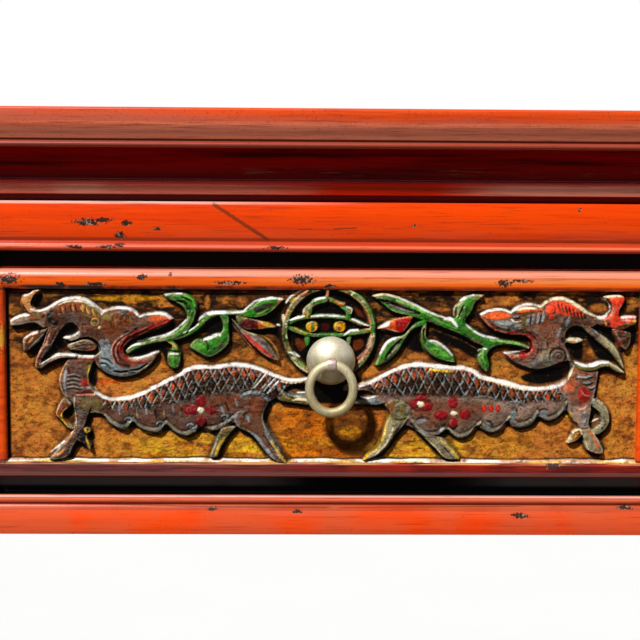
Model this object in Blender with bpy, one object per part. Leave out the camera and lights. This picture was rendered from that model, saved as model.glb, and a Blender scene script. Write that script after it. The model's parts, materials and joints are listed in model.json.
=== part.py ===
"""Red lacquered altar table with a waist, a row of carved drawers and ring pulls.

Metres, +Z up. The front faces -Y and the origin lies on the floor under the middle of the table.
Every piece of timber or metal is one closed solid, and neighbours keep a small named clearance.
"""

import math

import bmesh
import bpy

for old_object in list(bpy.data.objects):
    bpy.data.objects.remove(old_object)

# Driving dimensions of the frame
TABLE_HEIGHT = 0.860
BODY_DEPTH = 0.464
LEG_SIZE = 0.046
LEG_ROUND = 0.006
LEG_ARRIS = 0.0012
HOOF_HEIGHT = 0.130
POST_WIDTH = 0.036
POST_DEPTH = 0.030
RAIL_DEPTH = 0.040
SIDE_RAIL_DEPTH = 0.030
TOP_RAIL_HEIGHT = 0.0335
LOW_RAIL_HEIGHT = 0.0275
STRIP_HEIGHT = 0.0117
STRIP_SETBACK = 0.011
BEAD_HEIGHT = 0.0060
BEAD_PROUD = 0.0006
COVE_HEIGHT = 0.0035
COVE_DEPTH = 0.0018

# Driving dimensions of the top and the waist
TOP_OVERHANG = 0.034
TOP_THICKNESS = 0.026
TOP_EDGE_RECESS = 0.0068
TOP_FRAME_WIDTH = 0.075
TOP_PANEL_THICKNESS = 0.014
TOP_TONGUE = 0.006
BATTEN_WIDTH = 0.040
BATTEN_SPACING = 0.620
WAIST_HEIGHT = 0.022
WAIST_SETBACK = 0.010
WAIST_THICKNESS = 0.016
STEP_HEIGHT = 0.0145
STEP_SETBACK = 0.003
STEP_UNDERCUT = 0.0045

# Driving dimensions of the panels, tenons and runners
PANEL_THICKNESS = 0.008
PANEL_SETBACK = 0.011
GROOVE_DEPTH = 0.007
TENON_LENGTH = 0.026
RAIL_TENON_SETBACK = 0.014
RAIL_TENON_THICKNESS = 0.012
SIDE_TENON_SETBACK = 0.009
SIDE_TENON_THICKNESS = 0.008
TENON_SHOULDER = 0.005
STUB_LENGTH = 0.009
STUB_THICKNESS = 0.010
RUNNER_HEIGHT = 0.018
RUNNER_TREAD = 0.014
GUIDE_HEIGHT = 0.014
SPANDREL_LENGTH = 0.120
SPANDREL_HEIGHT = 0.058
SPANDREL_THICKNESS = 0.016
SPANDREL_FOOT = 0.018

# Driving dimensions of a drawer
DRAWER_WIDTH = 0.446
DRAWER_HEIGHT = 0.142
FRONT_THICKNESS = 0.020
FRONT_PROUD = 0.002
FIELD_DEPTH = 0.006
TOP_BEAD = 0.0130
LOW_BEAD = 0.0108
STILE = 0.0082
SIDE_THICKNESS = 0.011
SIDE_DROP = 0.012
BACK_THICKNESS = 0.010
BACK_INSET = 0.010
BOTTOM_THICKNESS = 0.007
BOTTOM_RISE = 0.008
BOARD_GROOVE = 0.005
DOVETAIL_LENGTH = 0.009
DOVETAIL_WIDTH = 0.020
DOVETAIL_SLOPE = 0.003
DOVETAILS = 3

# Driving dimensions of a pull
PULL_ASIDE = 0.005
PULL_RISE = 0.0105
BOSS_RADIUS = 0.0165
BOSS_HEIGHT = 0.0130
BOSS_WALL = 0.0014
BOSS_SIDES = 18
WIRE_RADIUS = 0.0030
RING_HALF_WIDTH = 0.0146
RING_HALF_HEIGHT = 0.0165
STRAP_WIDTH = 0.0054
STRAP_THICKNESS = 0.0009
STRAP_SPLIT = 0.0004
STRAP_CLINCH = 0.009

# Clearances
CLEARANCE = 0.0003
MITRE_GAP = CLEARANCE / math.sqrt(2)
DRAWER_GAP_SIDE = 0.0015
DRAWER_GAP_ABOVE = 0.0010
DRAWER_GAP_BELOW = 0.0005
DRAWER_GAP_BEHIND = 0.012
GUIDE_GAP = 0.0008
EYE_GAP = 0.0006
MORTISE_END = 0.001
CUT_PAST = 0.010
OVERLAP = 0.001

# Lengths, faces and levels that follow
BAYS = ("left", "middle", "right")
OPENING_WIDTH = DRAWER_WIDTH + 2 * DRAWER_GAP_SIDE
BAY_PITCH = OPENING_WIDTH + POST_WIDTH
BODY_LENGTH = 2 * LEG_SIZE + len(BAYS) * OPENING_WIDTH + (len(BAYS) - 1) * POST_WIDTH
TOP_UNDERSIDE = TABLE_HEIGHT - TOP_THICKNESS
STEP_TOP = TOP_UNDERSIDE - WAIST_HEIGHT
RAIL_TOP = STEP_TOP - STEP_HEIGHT
RAIL_BOTTOM = RAIL_TOP - TOP_RAIL_HEIGHT
OPENING_TOP = RAIL_BOTTOM - STRIP_HEIGHT
DRAWER_TOP = OPENING_TOP - DRAWER_GAP_ABOVE
DRAWER_BOTTOM = DRAWER_TOP - DRAWER_HEIGHT
OPENING_BOTTOM = DRAWER_BOTTOM - DRAWER_GAP_BELOW
LOW_RAIL_TOP = OPENING_BOTTOM - STRIP_HEIGHT
LOW_RAIL_BOTTOM = LOW_RAIL_TOP - LOW_RAIL_HEIGHT
FRONT_Y = -BODY_DEPTH / 2 - FRONT_PROUD
FRONT_BACK_Y = FRONT_Y + FRONT_THICKNESS
GROUND_Y = FRONT_Y + FIELD_DEPTH
DRAWER_BACK_Y = BODY_DEPTH / 2 - SIDE_RAIL_DEPTH - DRAWER_GAP_BEHIND
FIELD_TOP = DRAWER_TOP - TOP_BEAD
FIELD_BOTTOM = DRAWER_BOTTOM + LOW_BEAD
FIELD_WIDTH = DRAWER_WIDTH - 2 * STILE
PULL_Z = (DRAWER_TOP + DRAWER_BOTTOM) / 2 + PULL_RISE
PAD_Y = FRONT_Y + CLEARANCE
BOSS_TIP_Y = PAD_Y - CLEARANCE - BOSS_HEIGHT
EYE_RADIUS = WIRE_RADIUS + EYE_GAP
HINGE_Y = BOSS_TIP_Y - CLEARANCE - EYE_RADIUS - STRAP_THICKNESS


def lacquer(name, colour, roughness, metallic=0.0):
    material = bpy.data.materials.new(name)
    material.use_nodes = True
    shader = material.node_tree.nodes["Principled BSDF"]
    shader.inputs["Base Color"].default_value = (*colour, 1.0)
    shader.inputs["Roughness"].default_value = roughness
    shader.inputs["Metallic"].default_value = metallic
    return material


MATERIALS = {
    "red": lacquer("red_lacquer", (0.70, 0.09, 0.02), 0.35),
    "dark": lacquer("dark_red_lacquer", (0.13, 0.012, 0.010), 0.30),
    "carved": lacquer("carved_polychrome", (0.30, 0.14, 0.04), 0.55),
    "bare": lacquer("bare_wood", (0.36, 0.22, 0.12), 0.75),
    "brass": lacquer("pale_brass", (0.55, 0.50, 0.34), 0.30, 1.0),
    "strap": lacquer("strap_copper", (0.52, 0.42, 0.38), 0.40, 1.0),
}


def finish(shape, name, material):
    """Turn a bmesh into a named object with its faces pointing out."""
    bmesh.ops.recalc_face_normals(shape, faces=shape.faces[:])
    mesh = bpy.data.meshes.new(name)
    shape.to_mesh(mesh)
    shape.free()
    mesh.materials.append(MATERIALS[material])
    piece = bpy.data.objects.new(name, mesh)
    bpy.context.collection.objects.link(piece)
    return piece


def loft(name, rings, material):
    """Join rings of equally many points by walls and close both ends."""
    shape = bmesh.new()
    layers = [[shape.verts.new(point) for point in ring] for ring in rings]
    count = len(layers[0])
    for lower, upper in zip(layers, layers[1:]):
        for i in range(count):
            j = (i + 1) % count
            shape.faces.new((lower[i], lower[j], upper[j], upper[i]))
    shape.faces.new(layers[0])
    shape.faces.new(layers[-1])
    return finish(shape, name, material)


def box(name, low, high, material="bare"):
    rings = []
    for z in (low[2], high[2]):
        rings.append([(low[0], low[1], z), (high[0], low[1], z), (high[0], high[1], z), (low[0], high[1], z)])
    return loft(name, rings, material)


def combine(target, tool, operation):
    """Unite or cut a piece with a tool body, then remove the tool."""
    boolean = target.modifiers.new(operation.lower(), "BOOLEAN")
    boolean.operation = operation
    boolean.object = tool
    bpy.context.view_layer.update()
    depsgraph = bpy.context.evaluated_depsgraph_get()
    mesh = bpy.data.meshes.new_from_object(target.evaluated_get(depsgraph))
    target.modifiers.clear()
    plain = target.data
    target.data = mesh
    bpy.data.meshes.remove(plain)
    bpy.data.objects.remove(tool)


def add(target, tool):
    combine(target, tool, "UNION")


def cut(target, tool):
    combine(target, tool, "DIFFERENCE")


def place(side, along, inward, z, grow=0.0):
    """A point on one side of the body, measured inward from its outer face, or from a grown outline."""
    half_x = BODY_LENGTH / 2 + grow
    half_y = BODY_DEPTH / 2 + grow
    points = {
        "front": (along, inward - half_y, z),
        "back": (along, half_y - inward, z),
        "left": (inward - half_x, along, z),
        "right": (half_x - inward, along, z),
    }
    return points[side]


def half_side(side, grow=0.0):
    return (BODY_LENGTH if side in ("front", "back") else BODY_DEPTH) / 2 + grow


def run(name, side, outline, start, stop, material):
    """A straight length of an (inward, z) outline along one side."""
    rings = [[place(side, along, inward, z) for inward, z in outline] for along in (start, stop)]
    return loft(name, rings, material)


def mitred_run(name, side, outline, grow, material):
    """A length of an (inward, z) outline whose ends are cut at 45 degrees."""
    half = half_side(side, grow) - MITRE_GAP
    rings = []
    for end in (-1, 1):
        rings.append([place(side, end * (half - inward), inward, z, grow) for inward, z in outline])
    return loft(name, rings, material)


def block(side, along, inward, heights, name="tool"):
    outline = [(inward[0], heights[0]), (inward[1], heights[0]), (inward[1], heights[1]), (inward[0], heights[1])]
    return run(name, side, outline, along[0], along[1], "bare")


def widened(span, by=CLEARANCE):
    return (span[0] - by, span[1] + by)


# The top: a mitred frame with a fine-lined edge, a flush floating panel and two battens

TOP_EDGE = (
    (0.15, 0.00), (0.00, 0.04), (0.00, 0.36), (0.16, 0.50), (0.44, 0.62), (0.74, 0.73), (0.82, 0.79),
    (1.00, 0.81), (1.00, 0.85), (0.80, 0.87), (0.74, 0.92), (0.82, 0.97), (1.00, 1.00),
)
TONGUE_LOW = TABLE_HEIGHT - (TOP_PANEL_THICKNESS + TOP_TONGUE) / 2
TONGUE_HIGH = TONGUE_LOW + TOP_TONGUE
BATTEN_TOP = TABLE_HEIGHT - TOP_PANEL_THICKNESS - CLEARANCE
BATTEN_TENON_SHARES = (0.33, 0.75)
BATTEN_TENON = [TOP_UNDERSIDE + share * (BATTEN_TOP - TOP_UNDERSIDE) for share in BATTEN_TENON_SHARES]
PANEL_HALF_X = BODY_LENGTH / 2 + TOP_OVERHANG - TOP_FRAME_WIDTH
PANEL_HALF_Y = BODY_DEPTH / 2 + TOP_OVERHANG - TOP_FRAME_WIDTH
BATTEN_PLACES = (-BATTEN_SPACING / 2, BATTEN_SPACING / 2)


def top_frame_outline():
    edge = [(out * TOP_EDGE_RECESS, TABLE_HEIGHT - down * TOP_THICKNESS) for out, down in TOP_EDGE]
    groove = TOP_FRAME_WIDTH - GROOVE_DEPTH
    inner = [
        (TOP_FRAME_WIDTH, TOP_UNDERSIDE), (TOP_FRAME_WIDTH, TONGUE_LOW - CLEARANCE),
        (groove, TONGUE_LOW - CLEARANCE), (groove, TONGUE_HIGH + CLEARANCE),
        (TOP_FRAME_WIDTH, TONGUE_HIGH + CLEARANCE), (TOP_FRAME_WIDTH, TABLE_HEIGHT),
    ]
    return edge + inner


def make_top():
    for side in ("front", "back", "left", "right"):
        member = mitred_run("top_frame_" + side, side, top_frame_outline(), TOP_OVERHANG, "red")
        if side in ("left", "right"):
            continue
        inner = TOP_FRAME_WIDTH - TOP_OVERHANG
        for x in BATTEN_PLACES:
            across = widened((x - BATTEN_WIDTH / 2, x + BATTEN_WIDTH / 2))
            deep = (inner - STUB_LENGTH - MORTISE_END, inner + CUT_PAST)
            cut(member, block(side, across, deep, widened(BATTEN_TENON)))

    rings = []
    for spread, z in (
        (-CLEARANCE, TABLE_HEIGHT - TOP_PANEL_THICKNESS), (-CLEARANCE, TONGUE_LOW),
        (GROOVE_DEPTH - CLEARANCE, TONGUE_LOW), (GROOVE_DEPTH - CLEARANCE, TONGUE_HIGH),
        (-CLEARANCE, TONGUE_HIGH), (-CLEARANCE, TABLE_HEIGHT),
    ):
        x = PANEL_HALF_X + spread
        y = PANEL_HALF_Y + spread
        rings.append([(-x, -y, z), (x, -y, z), (x, y, z), (-x, y, z)])
    loft("top_panel", rings, "red")

    for hand, x in zip(("left", "right"), BATTEN_PLACES):
        shoulder = PANEL_HALF_Y - CLEARANCE
        tip = PANEL_HALF_Y + STUB_LENGTH
        low, high = BATTEN_TENON
        outline = [
            (-shoulder, TOP_UNDERSIDE), (shoulder, TOP_UNDERSIDE), (shoulder, low), (tip, low),
            (tip, high), (shoulder, high), (shoulder, BATTEN_TOP), (-shoulder, BATTEN_TOP),
            (-shoulder, high), (-tip, high), (-tip, low), (-shoulder, low),
        ]
        ends = (x - BATTEN_WIDTH / 2, x + BATTEN_WIDTH / 2)
        loft("top_batten_" + hand, [[(end, y, z) for y, z in outline] for end in ends], "bare")


# The waist: four mitred boards, each with the stepped moulding along its foot


STEP_FACE = ((1.15, 0.0), (1.0, 0.25), (1.0, 0.75), (1.3, 1.0))


def waist_outline():
    foot = RAIL_TOP + CLEARANCE
    head = TOP_UNDERSIDE - CLEARANCE
    back = WAIST_SETBACK + WAIST_THICKNESS
    nose = RAIL_TOP + STEP_UNDERCUT
    face = [(setback * STEP_SETBACK, nose + rise * (STEP_TOP - nose)) for setback, rise in STEP_FACE]
    return [(back, foot), (2 * STEP_SETBACK, foot), (2 * STEP_SETBACK, nose)] + face + [
        (WAIST_SETBACK, STEP_TOP), (WAIST_SETBACK, head), (back, head),
    ]


def make_waist():
    for side in ("front", "back", "left", "right"):
        mitred_run("waist_" + side, side, waist_outline(), 0.0, "dark")


# The rails, with their beads, coves and black strips

RAIL_TENON = (RAIL_TENON_SETBACK, RAIL_TENON_SETBACK + RAIL_TENON_THICKNESS)
SIDE_TENON = (SIDE_TENON_SETBACK, SIDE_TENON_SETBACK + SIDE_TENON_THICKNESS)
PANEL_SPAN = (PANEL_SETBACK, PANEL_SETBACK + PANEL_THICKNESS)
TOP_TENON_HEIGHTS = (OPENING_TOP + GROOVE_DEPTH + TENON_SHOULDER, RAIL_TOP - TENON_SHOULDER)
LOW_TENON_HEIGHTS = (LOW_RAIL_BOTTOM + TENON_SHOULDER, OPENING_BOTTOM - GROOVE_DEPTH - TENON_SHOULDER)
POST_STUB_SHARES = (0.3, 0.8)
POST_STUB = [STRIP_SETBACK + share * (POST_DEPTH - STRIP_SETBACK) for share in POST_STUB_SHARES]
POST_PLACES = (-BAY_PITCH / 2, BAY_PITCH / 2)
RUNNER_TOP = DRAWER_BOTTOM - CLEARANCE
RUNNER_STUB_SHARES = (0.8, 0.3)
RUNNER_STUB = [RUNNER_TOP - share * RUNNER_HEIGHT for share in RUNNER_STUB_SHARES]
BEAD_TURNS = (90, 50, 0, -50, -80)
COVE_BEND = 0.3


def bead(edge, direction):
    """A half-round bead running from an edge level over one bead height, then its cove."""
    points = []
    for degrees in BEAD_TURNS:
        turn = math.radians(degrees)
        inward = COVE_DEPTH - (COVE_DEPTH + BEAD_PROUD) * math.cos(turn)
        points.append((inward, edge + direction * BEAD_HEIGHT * (1 - math.sin(turn)) / 2))
    cove_middle = edge + direction * (BEAD_HEIGHT + COVE_HEIGHT * COVE_BEND)
    points.append((COVE_DEPTH, cove_middle))
    points.append((0.0, edge + direction * (BEAD_HEIGHT + COVE_HEIGHT)))
    return points


def front_top_outline():
    return [(0.0, RAIL_TOP)] + bead(RAIL_BOTTOM, 1)[::-1] + [
        (STRIP_SETBACK, RAIL_BOTTOM), (STRIP_SETBACK, OPENING_TOP),
        (RAIL_DEPTH, OPENING_TOP), (RAIL_DEPTH, RAIL_TOP),
    ]


def front_low_outline():
    return [(STRIP_SETBACK, OPENING_BOTTOM), (STRIP_SETBACK, LOW_RAIL_TOP)] + bead(LOW_RAIL_TOP, -1) + [
        (0.0, LOW_RAIL_BOTTOM), (RAIL_DEPTH, LOW_RAIL_BOTTOM), (RAIL_DEPTH, OPENING_BOTTOM),
    ]


def grooved_outline(edge, far):
    """A plain rail from its grooved edge to its far edge."""
    deep = edge + math.copysign(GROOVE_DEPTH, far - edge)
    near, behind = widened(PANEL_SPAN)
    return [
        (0.0, far), (0.0, edge), (near, edge), (near, deep), (behind, deep), (behind, edge),
        (SIDE_RAIL_DEPTH, edge), (SIDE_RAIL_DEPTH, far),
    ]


def rail(name, side, outline, tenon, heights, material="red"):
    half = half_side(side) - LEG_SIZE - CLEARANCE
    piece = run(name, side, outline, -half, half, material)
    for end in (-1, 1):
        along = sorted((end * (half - OVERLAP), end * (half + TENON_LENGTH)))
        add(piece, block(side, along, tenon, heights))
    return piece


def make_rails():
    front_top = rail("front_top_rail", "front", front_top_outline(), RAIL_TENON, TOP_TENON_HEIGHTS)
    front_low = rail("front_bottom_rail", "front", front_low_outline(), RAIL_TENON, LOW_TENON_HEIGHTS)
    for x in POST_PLACES:
        across = widened((x - POST_WIDTH / 2, x + POST_WIDTH / 2))
        stub_end = STUB_LENGTH + MORTISE_END
        cut(front_top, block("front", across, widened(POST_STUB), (OPENING_TOP - CUT_PAST, OPENING_TOP + stub_end)))
        low_heights = (OPENING_BOTTOM - stub_end, OPENING_BOTTOM + CUT_PAST)
        cut(front_low, block("front", across, widened(POST_STUB), low_heights))

    top_outline = grooved_outline(OPENING_TOP, RAIL_TOP)
    low_outline = grooved_outline(OPENING_BOTTOM, LOW_RAIL_BOTTOM)
    rail("back_top_rail", "back", top_outline, RAIL_TENON, TOP_TENON_HEIGHTS)
    back_low = rail("back_bottom_rail", "back", low_outline, RAIL_TENON, LOW_TENON_HEIGHTS)
    for side in ("left", "right"):
        rail(side + "_top_rail", side, top_outline, SIDE_TENON, TOP_TENON_HEIGHTS)
        rail(side + "_bottom_rail", side, low_outline, SIDE_TENON, LOW_TENON_HEIGHTS)

    for x in runner_stub_places():
        across = widened((x - STUB_THICKNESS / 2, x + STUB_THICKNESS / 2))
        for piece, side, face in ((front_low, "front", RAIL_DEPTH), (back_low, "back", SIDE_RAIL_DEPTH)):
            deep = (face - STUB_LENGTH - MORTISE_END, face + CUT_PAST)
            cut(piece, block(side, across, deep, widened(RUNNER_STUB)))


# The legs: square, rounded outside, mortised, ending in inward hoof feet

HOOF_STATIONS = (
    (0.00, 0.20, 0.26), (0.10, 0.13, 0.31), (0.25, 0.06, 0.32), (0.42, 0.015, 0.25),
    (0.60, 0.00, 0.14), (0.80, 0.00, 0.04), (1.00, 0.00, 0.00),
)


def leg_section(low, high):
    """The leg's outline seen from above, from its outer corner inward, as (along x, along y)."""
    centre = low + LEG_ROUND
    points = []
    for degrees in (180, 202.5, 225, 247.5, 270):
        turn = math.radians(degrees)
        points.append((centre + LEG_ROUND * math.cos(turn), centre + LEG_ROUND * math.sin(turn)))
    points += [(high - LEG_ARRIS, low), (high, low + LEG_ARRIS), (high, high - LEG_ARRIS)]
    points += [(high - LEG_ARRIS, high), (low + LEG_ARRIS, high), (low, high - LEG_ARRIS)]
    return points


def corner_box(hand_x, hand_y, along_x, along_y, heights):
    """A box inside a leg, measured inward from the body's corner."""
    xs = sorted(hand_x * (BODY_LENGTH / 2 - value) for value in along_x)
    ys = sorted(hand_y * (BODY_DEPTH / 2 - value) for value in along_y)
    return box("tool", (xs[0], ys[0], heights[0]), (xs[1], ys[1], heights[1]))


def make_leg(name, hand_x, hand_y):
    stations = [(share * HOOF_HEIGHT, tuck, flare) for share, tuck, flare in HOOF_STATIONS]
    stations.append((RAIL_TOP, 0.0, 0.0))
    rings = []
    for z, tuck, flare in stations:
        section = leg_section(tuck * LEG_SIZE, LEG_SIZE * (1 + flare))
        rings.append([(hand_x * (BODY_LENGTH / 2 - u), hand_y * (BODY_DEPTH / 2 - v), z) for u, v in section])
    leg = loft(name, rings, "red")

    mortise = (LEG_SIZE - TENON_LENGTH - MORTISE_END, LEG_SIZE + CUT_PAST)
    groove = (LEG_SIZE - GROOVE_DEPTH, LEG_SIZE + CUT_PAST)
    for heights in (TOP_TENON_HEIGHTS, LOW_TENON_HEIGHTS):
        cut(leg, corner_box(hand_x, hand_y, mortise, widened(RAIL_TENON), widened(heights)))
        cut(leg, corner_box(hand_x, hand_y, widened(SIDE_TENON), mortise, widened(heights)))
    panel_heights = (OPENING_BOTTOM, OPENING_TOP)
    cut(leg, corner_box(hand_x, hand_y, widened(PANEL_SPAN), groove, panel_heights))
    if name.startswith("back"):
        cut(leg, corner_box(hand_x, hand_y, groove, widened(PANEL_SPAN), panel_heights))


def make_legs():
    for depth_word, hand_y in (("front", -1), ("back", 1)):
        for side_word, hand_x in (("left", -1), ("right", 1)):
            make_leg(depth_word + "_" + side_word + "_leg", hand_x, hand_y)


# Floating panels, with their corners cut away for the tenons


def make_panels():
    for side in ("back", "left", "right"):
        half = half_side(side) - LEG_SIZE - CLEARANCE
        wide = half + GROOVE_DEPTH
        low = OPENING_BOTTOM + CLEARANCE
        high = OPENING_TOP - CLEARANCE
        outline = [
            (-wide, low), (-half, low), (-half, low - GROOVE_DEPTH), (half, low - GROOVE_DEPTH), (half, low),
            (wide, low), (wide, high), (half, high), (half, high + GROOVE_DEPTH), (-half, high + GROOVE_DEPTH),
            (-half, high), (-wide, high),
        ]
        rings = [[place(side, along, inward, z) for along, z in outline] for inward in PANEL_SPAN]
        loft(side + "_panel", rings, "red")


# Posts between the drawers, and the runners that carry the drawers


def make_posts():
    for hand, x in zip(("left", "right"), POST_PLACES):
        top = OPENING_TOP - CLEARANCE
        low = OPENING_BOTTOM + CLEARANCE
        lip = STRIP_SETBACK - CLEARANCE
        stub_near, stub_far = POST_STUB
        outline = [
            (0.0, RAIL_BOTTOM - CLEARANCE), (lip, RAIL_BOTTOM - CLEARANCE), (lip, top), (stub_near, top),
            (stub_near, top + STUB_LENGTH), (stub_far, top + STUB_LENGTH), (stub_far, top), (POST_DEPTH, top),
            (POST_DEPTH, low), (stub_far, low), (stub_far, low - STUB_LENGTH), (stub_near, low - STUB_LENGTH),
            (stub_near, low), (lip, low), (lip, LOW_RAIL_TOP + CLEARANCE), (0.0, LOW_RAIL_TOP + CLEARANCE),
        ]
        run("front_post_" + hand, "front", outline, x - POST_WIDTH / 2, x + POST_WIDTH / 2, "red")


RUNNER_FRONT_Y = -BODY_DEPTH / 2 + RAIL_DEPTH + CLEARANCE
RUNNER_BACK_Y = BODY_DEPTH / 2 - SIDE_RAIL_DEPTH - CLEARANCE
RUNNER_BOTTOM = RUNNER_TOP - RUNNER_HEIGHT
GUIDE_TOP = RUNNER_TOP + GUIDE_HEIGHT
OUTER_EDGE = BODY_LENGTH / 2 - LEG_SIZE


def runner_stub_places():
    outer = OUTER_EDGE - RUNNER_TREAD / 2
    return (-outer, *POST_PLACES, outer)


def add_runner_stubs(runner, x):
    for face, outward in ((RUNNER_FRONT_Y, -1), (RUNNER_BACK_Y, 1)):
        ys = sorted((face - outward * OVERLAP, face + outward * (STUB_LENGTH - CLEARANCE)))
        low = (x - STUB_THICKNESS / 2, ys[0], RUNNER_STUB[0])
        high = (x + STUB_THICKNESS / 2, ys[1], RUNNER_STUB[1])
        add(runner, box("tool", low, high))


def make_runners():
    stubs = runner_stub_places()
    for hand, x, stub in zip(("left", "right"), POST_PLACES, stubs[1:3]):
        tread = POST_WIDTH / 2 + RUNNER_TREAD
        guide = POST_WIDTH / 2 + DRAWER_GAP_SIDE - GUIDE_GAP
        outline = [
            (x - tread, RUNNER_BOTTOM), (x + tread, RUNNER_BOTTOM), (x + tread, RUNNER_TOP), (x + guide, RUNNER_TOP),
            (x + guide, GUIDE_TOP), (x - guide, GUIDE_TOP), (x - guide, RUNNER_TOP), (x - tread, RUNNER_TOP),
        ]
        ends = (RUNNER_FRONT_Y, RUNNER_BACK_Y)
        runner = loft("middle_runner_" + hand, [[(u, y, z) for u, z in outline] for y in ends], "bare")
        add_runner_stubs(runner, stub)

    for hand, hand_x, stub in (("left", -1, stubs[0]), ("right", 1, stubs[3])):
        inner = OUTER_EDGE - RUNNER_TREAD
        guide = OUTER_EDGE - DRAWER_GAP_SIDE + GUIDE_GAP
        wall = BODY_LENGTH / 2 - SIDE_RAIL_DEPTH - CLEARANCE
        outline = [
            (inner, RUNNER_BOTTOM), (wall, RUNNER_BOTTOM), (wall, GUIDE_TOP), (guide, GUIDE_TOP),
            (guide, RUNNER_TOP), (inner, RUNNER_TOP),
        ]
        reach = BODY_DEPTH / 2 - LEG_SIZE - CLEARANCE
        rings = [[(hand_x * u, y, z) for u, z in outline] for y in (-reach, reach)]
        runner = loft("end_runner_" + hand, rings, "bare")
        tread_x = sorted((hand_x * inner, hand_x * (OUTER_EDGE - CLEARANCE)))
        low = (tread_x[0], RUNNER_FRONT_Y, RUNNER_BOTTOM)
        high = (tread_x[1], RUNNER_BACK_Y, RUNNER_TOP)
        add(runner, box("tool", low, high))
        add_runner_stubs(runner, stub)


# Spandrels in the corners under the front bottom rail


SPANDREL_TIP = 0.16
SPANDREL_CUSP = (0.55, 0.42)
SPANDREL_STEPS = 6


def spandrel_outline():
    """A bracket with a cusped lower edge, as (away from the leg, down from the rail)."""
    tip = SPANDREL_TIP * SPANDREL_HEIGHT
    cusp_away = SPANDREL_CUSP[0] * SPANDREL_LENGTH
    cusp_down = SPANDREL_CUSP[1] * SPANDREL_HEIGHT
    turns = [math.pi / 2 * step / SPANDREL_STEPS for step in range(1, SPANDREL_STEPS + 1)]
    points = [(0.0, 0.0), (SPANDREL_LENGTH, 0.0), (SPANDREL_LENGTH, tip)]
    for turn in turns:
        away = SPANDREL_LENGTH - (SPANDREL_LENGTH - cusp_away) * math.sin(turn)
        points.append((away, cusp_down - (cusp_down - tip) * math.cos(turn)))
    for turn in turns:
        away = cusp_away - (cusp_away - SPANDREL_FOOT) * math.sin(turn)
        points.append((away, SPANDREL_HEIGHT - (SPANDREL_HEIGHT - cusp_down) * math.cos(turn)))
    points.append((0.0, SPANDREL_HEIGHT))
    return points


def make_spandrels():
    inward = (RAIL_TENON_SETBACK, RAIL_TENON_SETBACK + SPANDREL_THICKNESS)
    for hand, hand_x in (("left", -1), ("right", 1)):
        rings = []
        for depth in inward:
            ring = []
            for away, down in spandrel_outline():
                along = hand_x * (OUTER_EDGE - CLEARANCE - away)
                ring.append(place("front", along, depth, LOW_RAIL_BOTTOM - CLEARANCE - down))
            rings.append(ring)
        loft("front_spandrel_" + hand, rings, "red")


# The carver's pattern: outlines on a drawn sheet, whose corners are laid on the sunk field

SHEET_LEFT_TOP = (4.0, 286.5)
SHEET_RIGHT_TOP = (640.0, 290.5)
SHEET_LEFT_BOTTOM = (9.5, 461.0)
SHEET_RIGHT_BOTTOM = (637.0, 459.0)

LEFT_BEAST = {
    "torso": [
        (62, 366), (70, 356), (86, 355), (96, 356), (92, 367), (89, 377), (92, 387), (101, 395), (114, 399),
        (128, 398), (142, 392), (156, 385), (170, 377), (184, 370), (198, 366), (216, 365), (233, 362), (250, 364),
        (264, 369), (280, 376), (294, 379), (312, 376), (312, 384), (290, 386), (280, 396), (268, 404), (264, 414),
        (250, 426), (234, 424), (224, 430), (212, 432), (200, 428), (194, 435), (183, 437), (172, 432), (165, 426),
        (160, 433), (148, 433), (137, 428), (132, 423), (127, 430), (118, 430), (108, 423), (100, 415), (88, 414),
        (72, 404), (63, 396), (58, 386), (58, 376),
    ],
    "tail": [(278, 386), (290, 394), (314, 396), (314, 406), (292, 404), (276, 400)],
    "front_leg": [
        (70, 396), (74, 412), (74, 426), (66, 436), (56, 449), (48, 460), (58, 461), (69, 457), (74, 447),
        (81, 436), (86, 424), (90, 412), (92, 400),
    ],
    "tuft": [(63, 397), (57, 406), (55, 415), (61, 422), (69, 430), (74, 428), (66, 419), (64, 413), (72, 405)],
    "spur": [(78, 431), (86, 426), (92, 431), (88, 436), (92, 445), (90, 452), (83, 445), (76, 440)],
    "hind_leg": [
        (238, 402), (247, 392), (258, 392), (269, 400), (264, 412), (264, 422), (270, 434), (278, 446), (287, 462),
        (281, 466), (268, 458), (257, 444), (248, 434), (236, 428), (232, 415),
    ],
    "far_leg": [(220, 428), (236, 426), (227, 438), (220, 450), (217, 458), (208, 458), (213, 444)],
    "head": [
        (44, 320), (52, 305), (60, 299), (70, 297), (82, 298), (92, 303), (101, 311), (110, 308), (121, 306),
        (130, 307), (138, 313), (150, 312), (163, 312), (172, 320), (162, 328), (146, 334), (131, 341), (124, 349),
        (127, 356), (137, 358), (148, 355), (159, 351), (155, 360), (146, 369), (134, 376), (120, 378), (107, 375),
        (97, 368), (92, 357), (99, 350), (95, 342), (87, 338), (78, 340), (70, 342), (61, 338), (70, 336),
        (78, 332), (72, 324), (64, 327), (56, 337), (46, 330),
    ],
    "mane_strand": [(48, 327), (42, 342), (36, 355), (34, 367), (40, 369), (44, 358), (52, 347), (59, 334),
                    (60, 324)],
    "neck_lock": [(39, 363), (50, 357), (61, 353), (76, 353), (76, 359), (62, 359), (50, 364), (40, 370)],
    "mane_up": [(30, 315), (23, 307), (20, 301), (22, 296), (28, 294), (33, 290), (40, 290), (34, 298), (32, 304),
                (36, 309), (44, 314)],
    "mane_back": [(9, 322), (13, 317), (20, 315), (29, 313), (40, 309), (50, 308), (54, 322), (44, 329), (34, 324),
                  (20, 326), (11, 327)],
    "mane_low": [(22, 345), (22, 338), (28, 334), (36, 331), (48, 327), (44, 338), (36, 346), (30, 351), (24, 353)],
}
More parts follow.
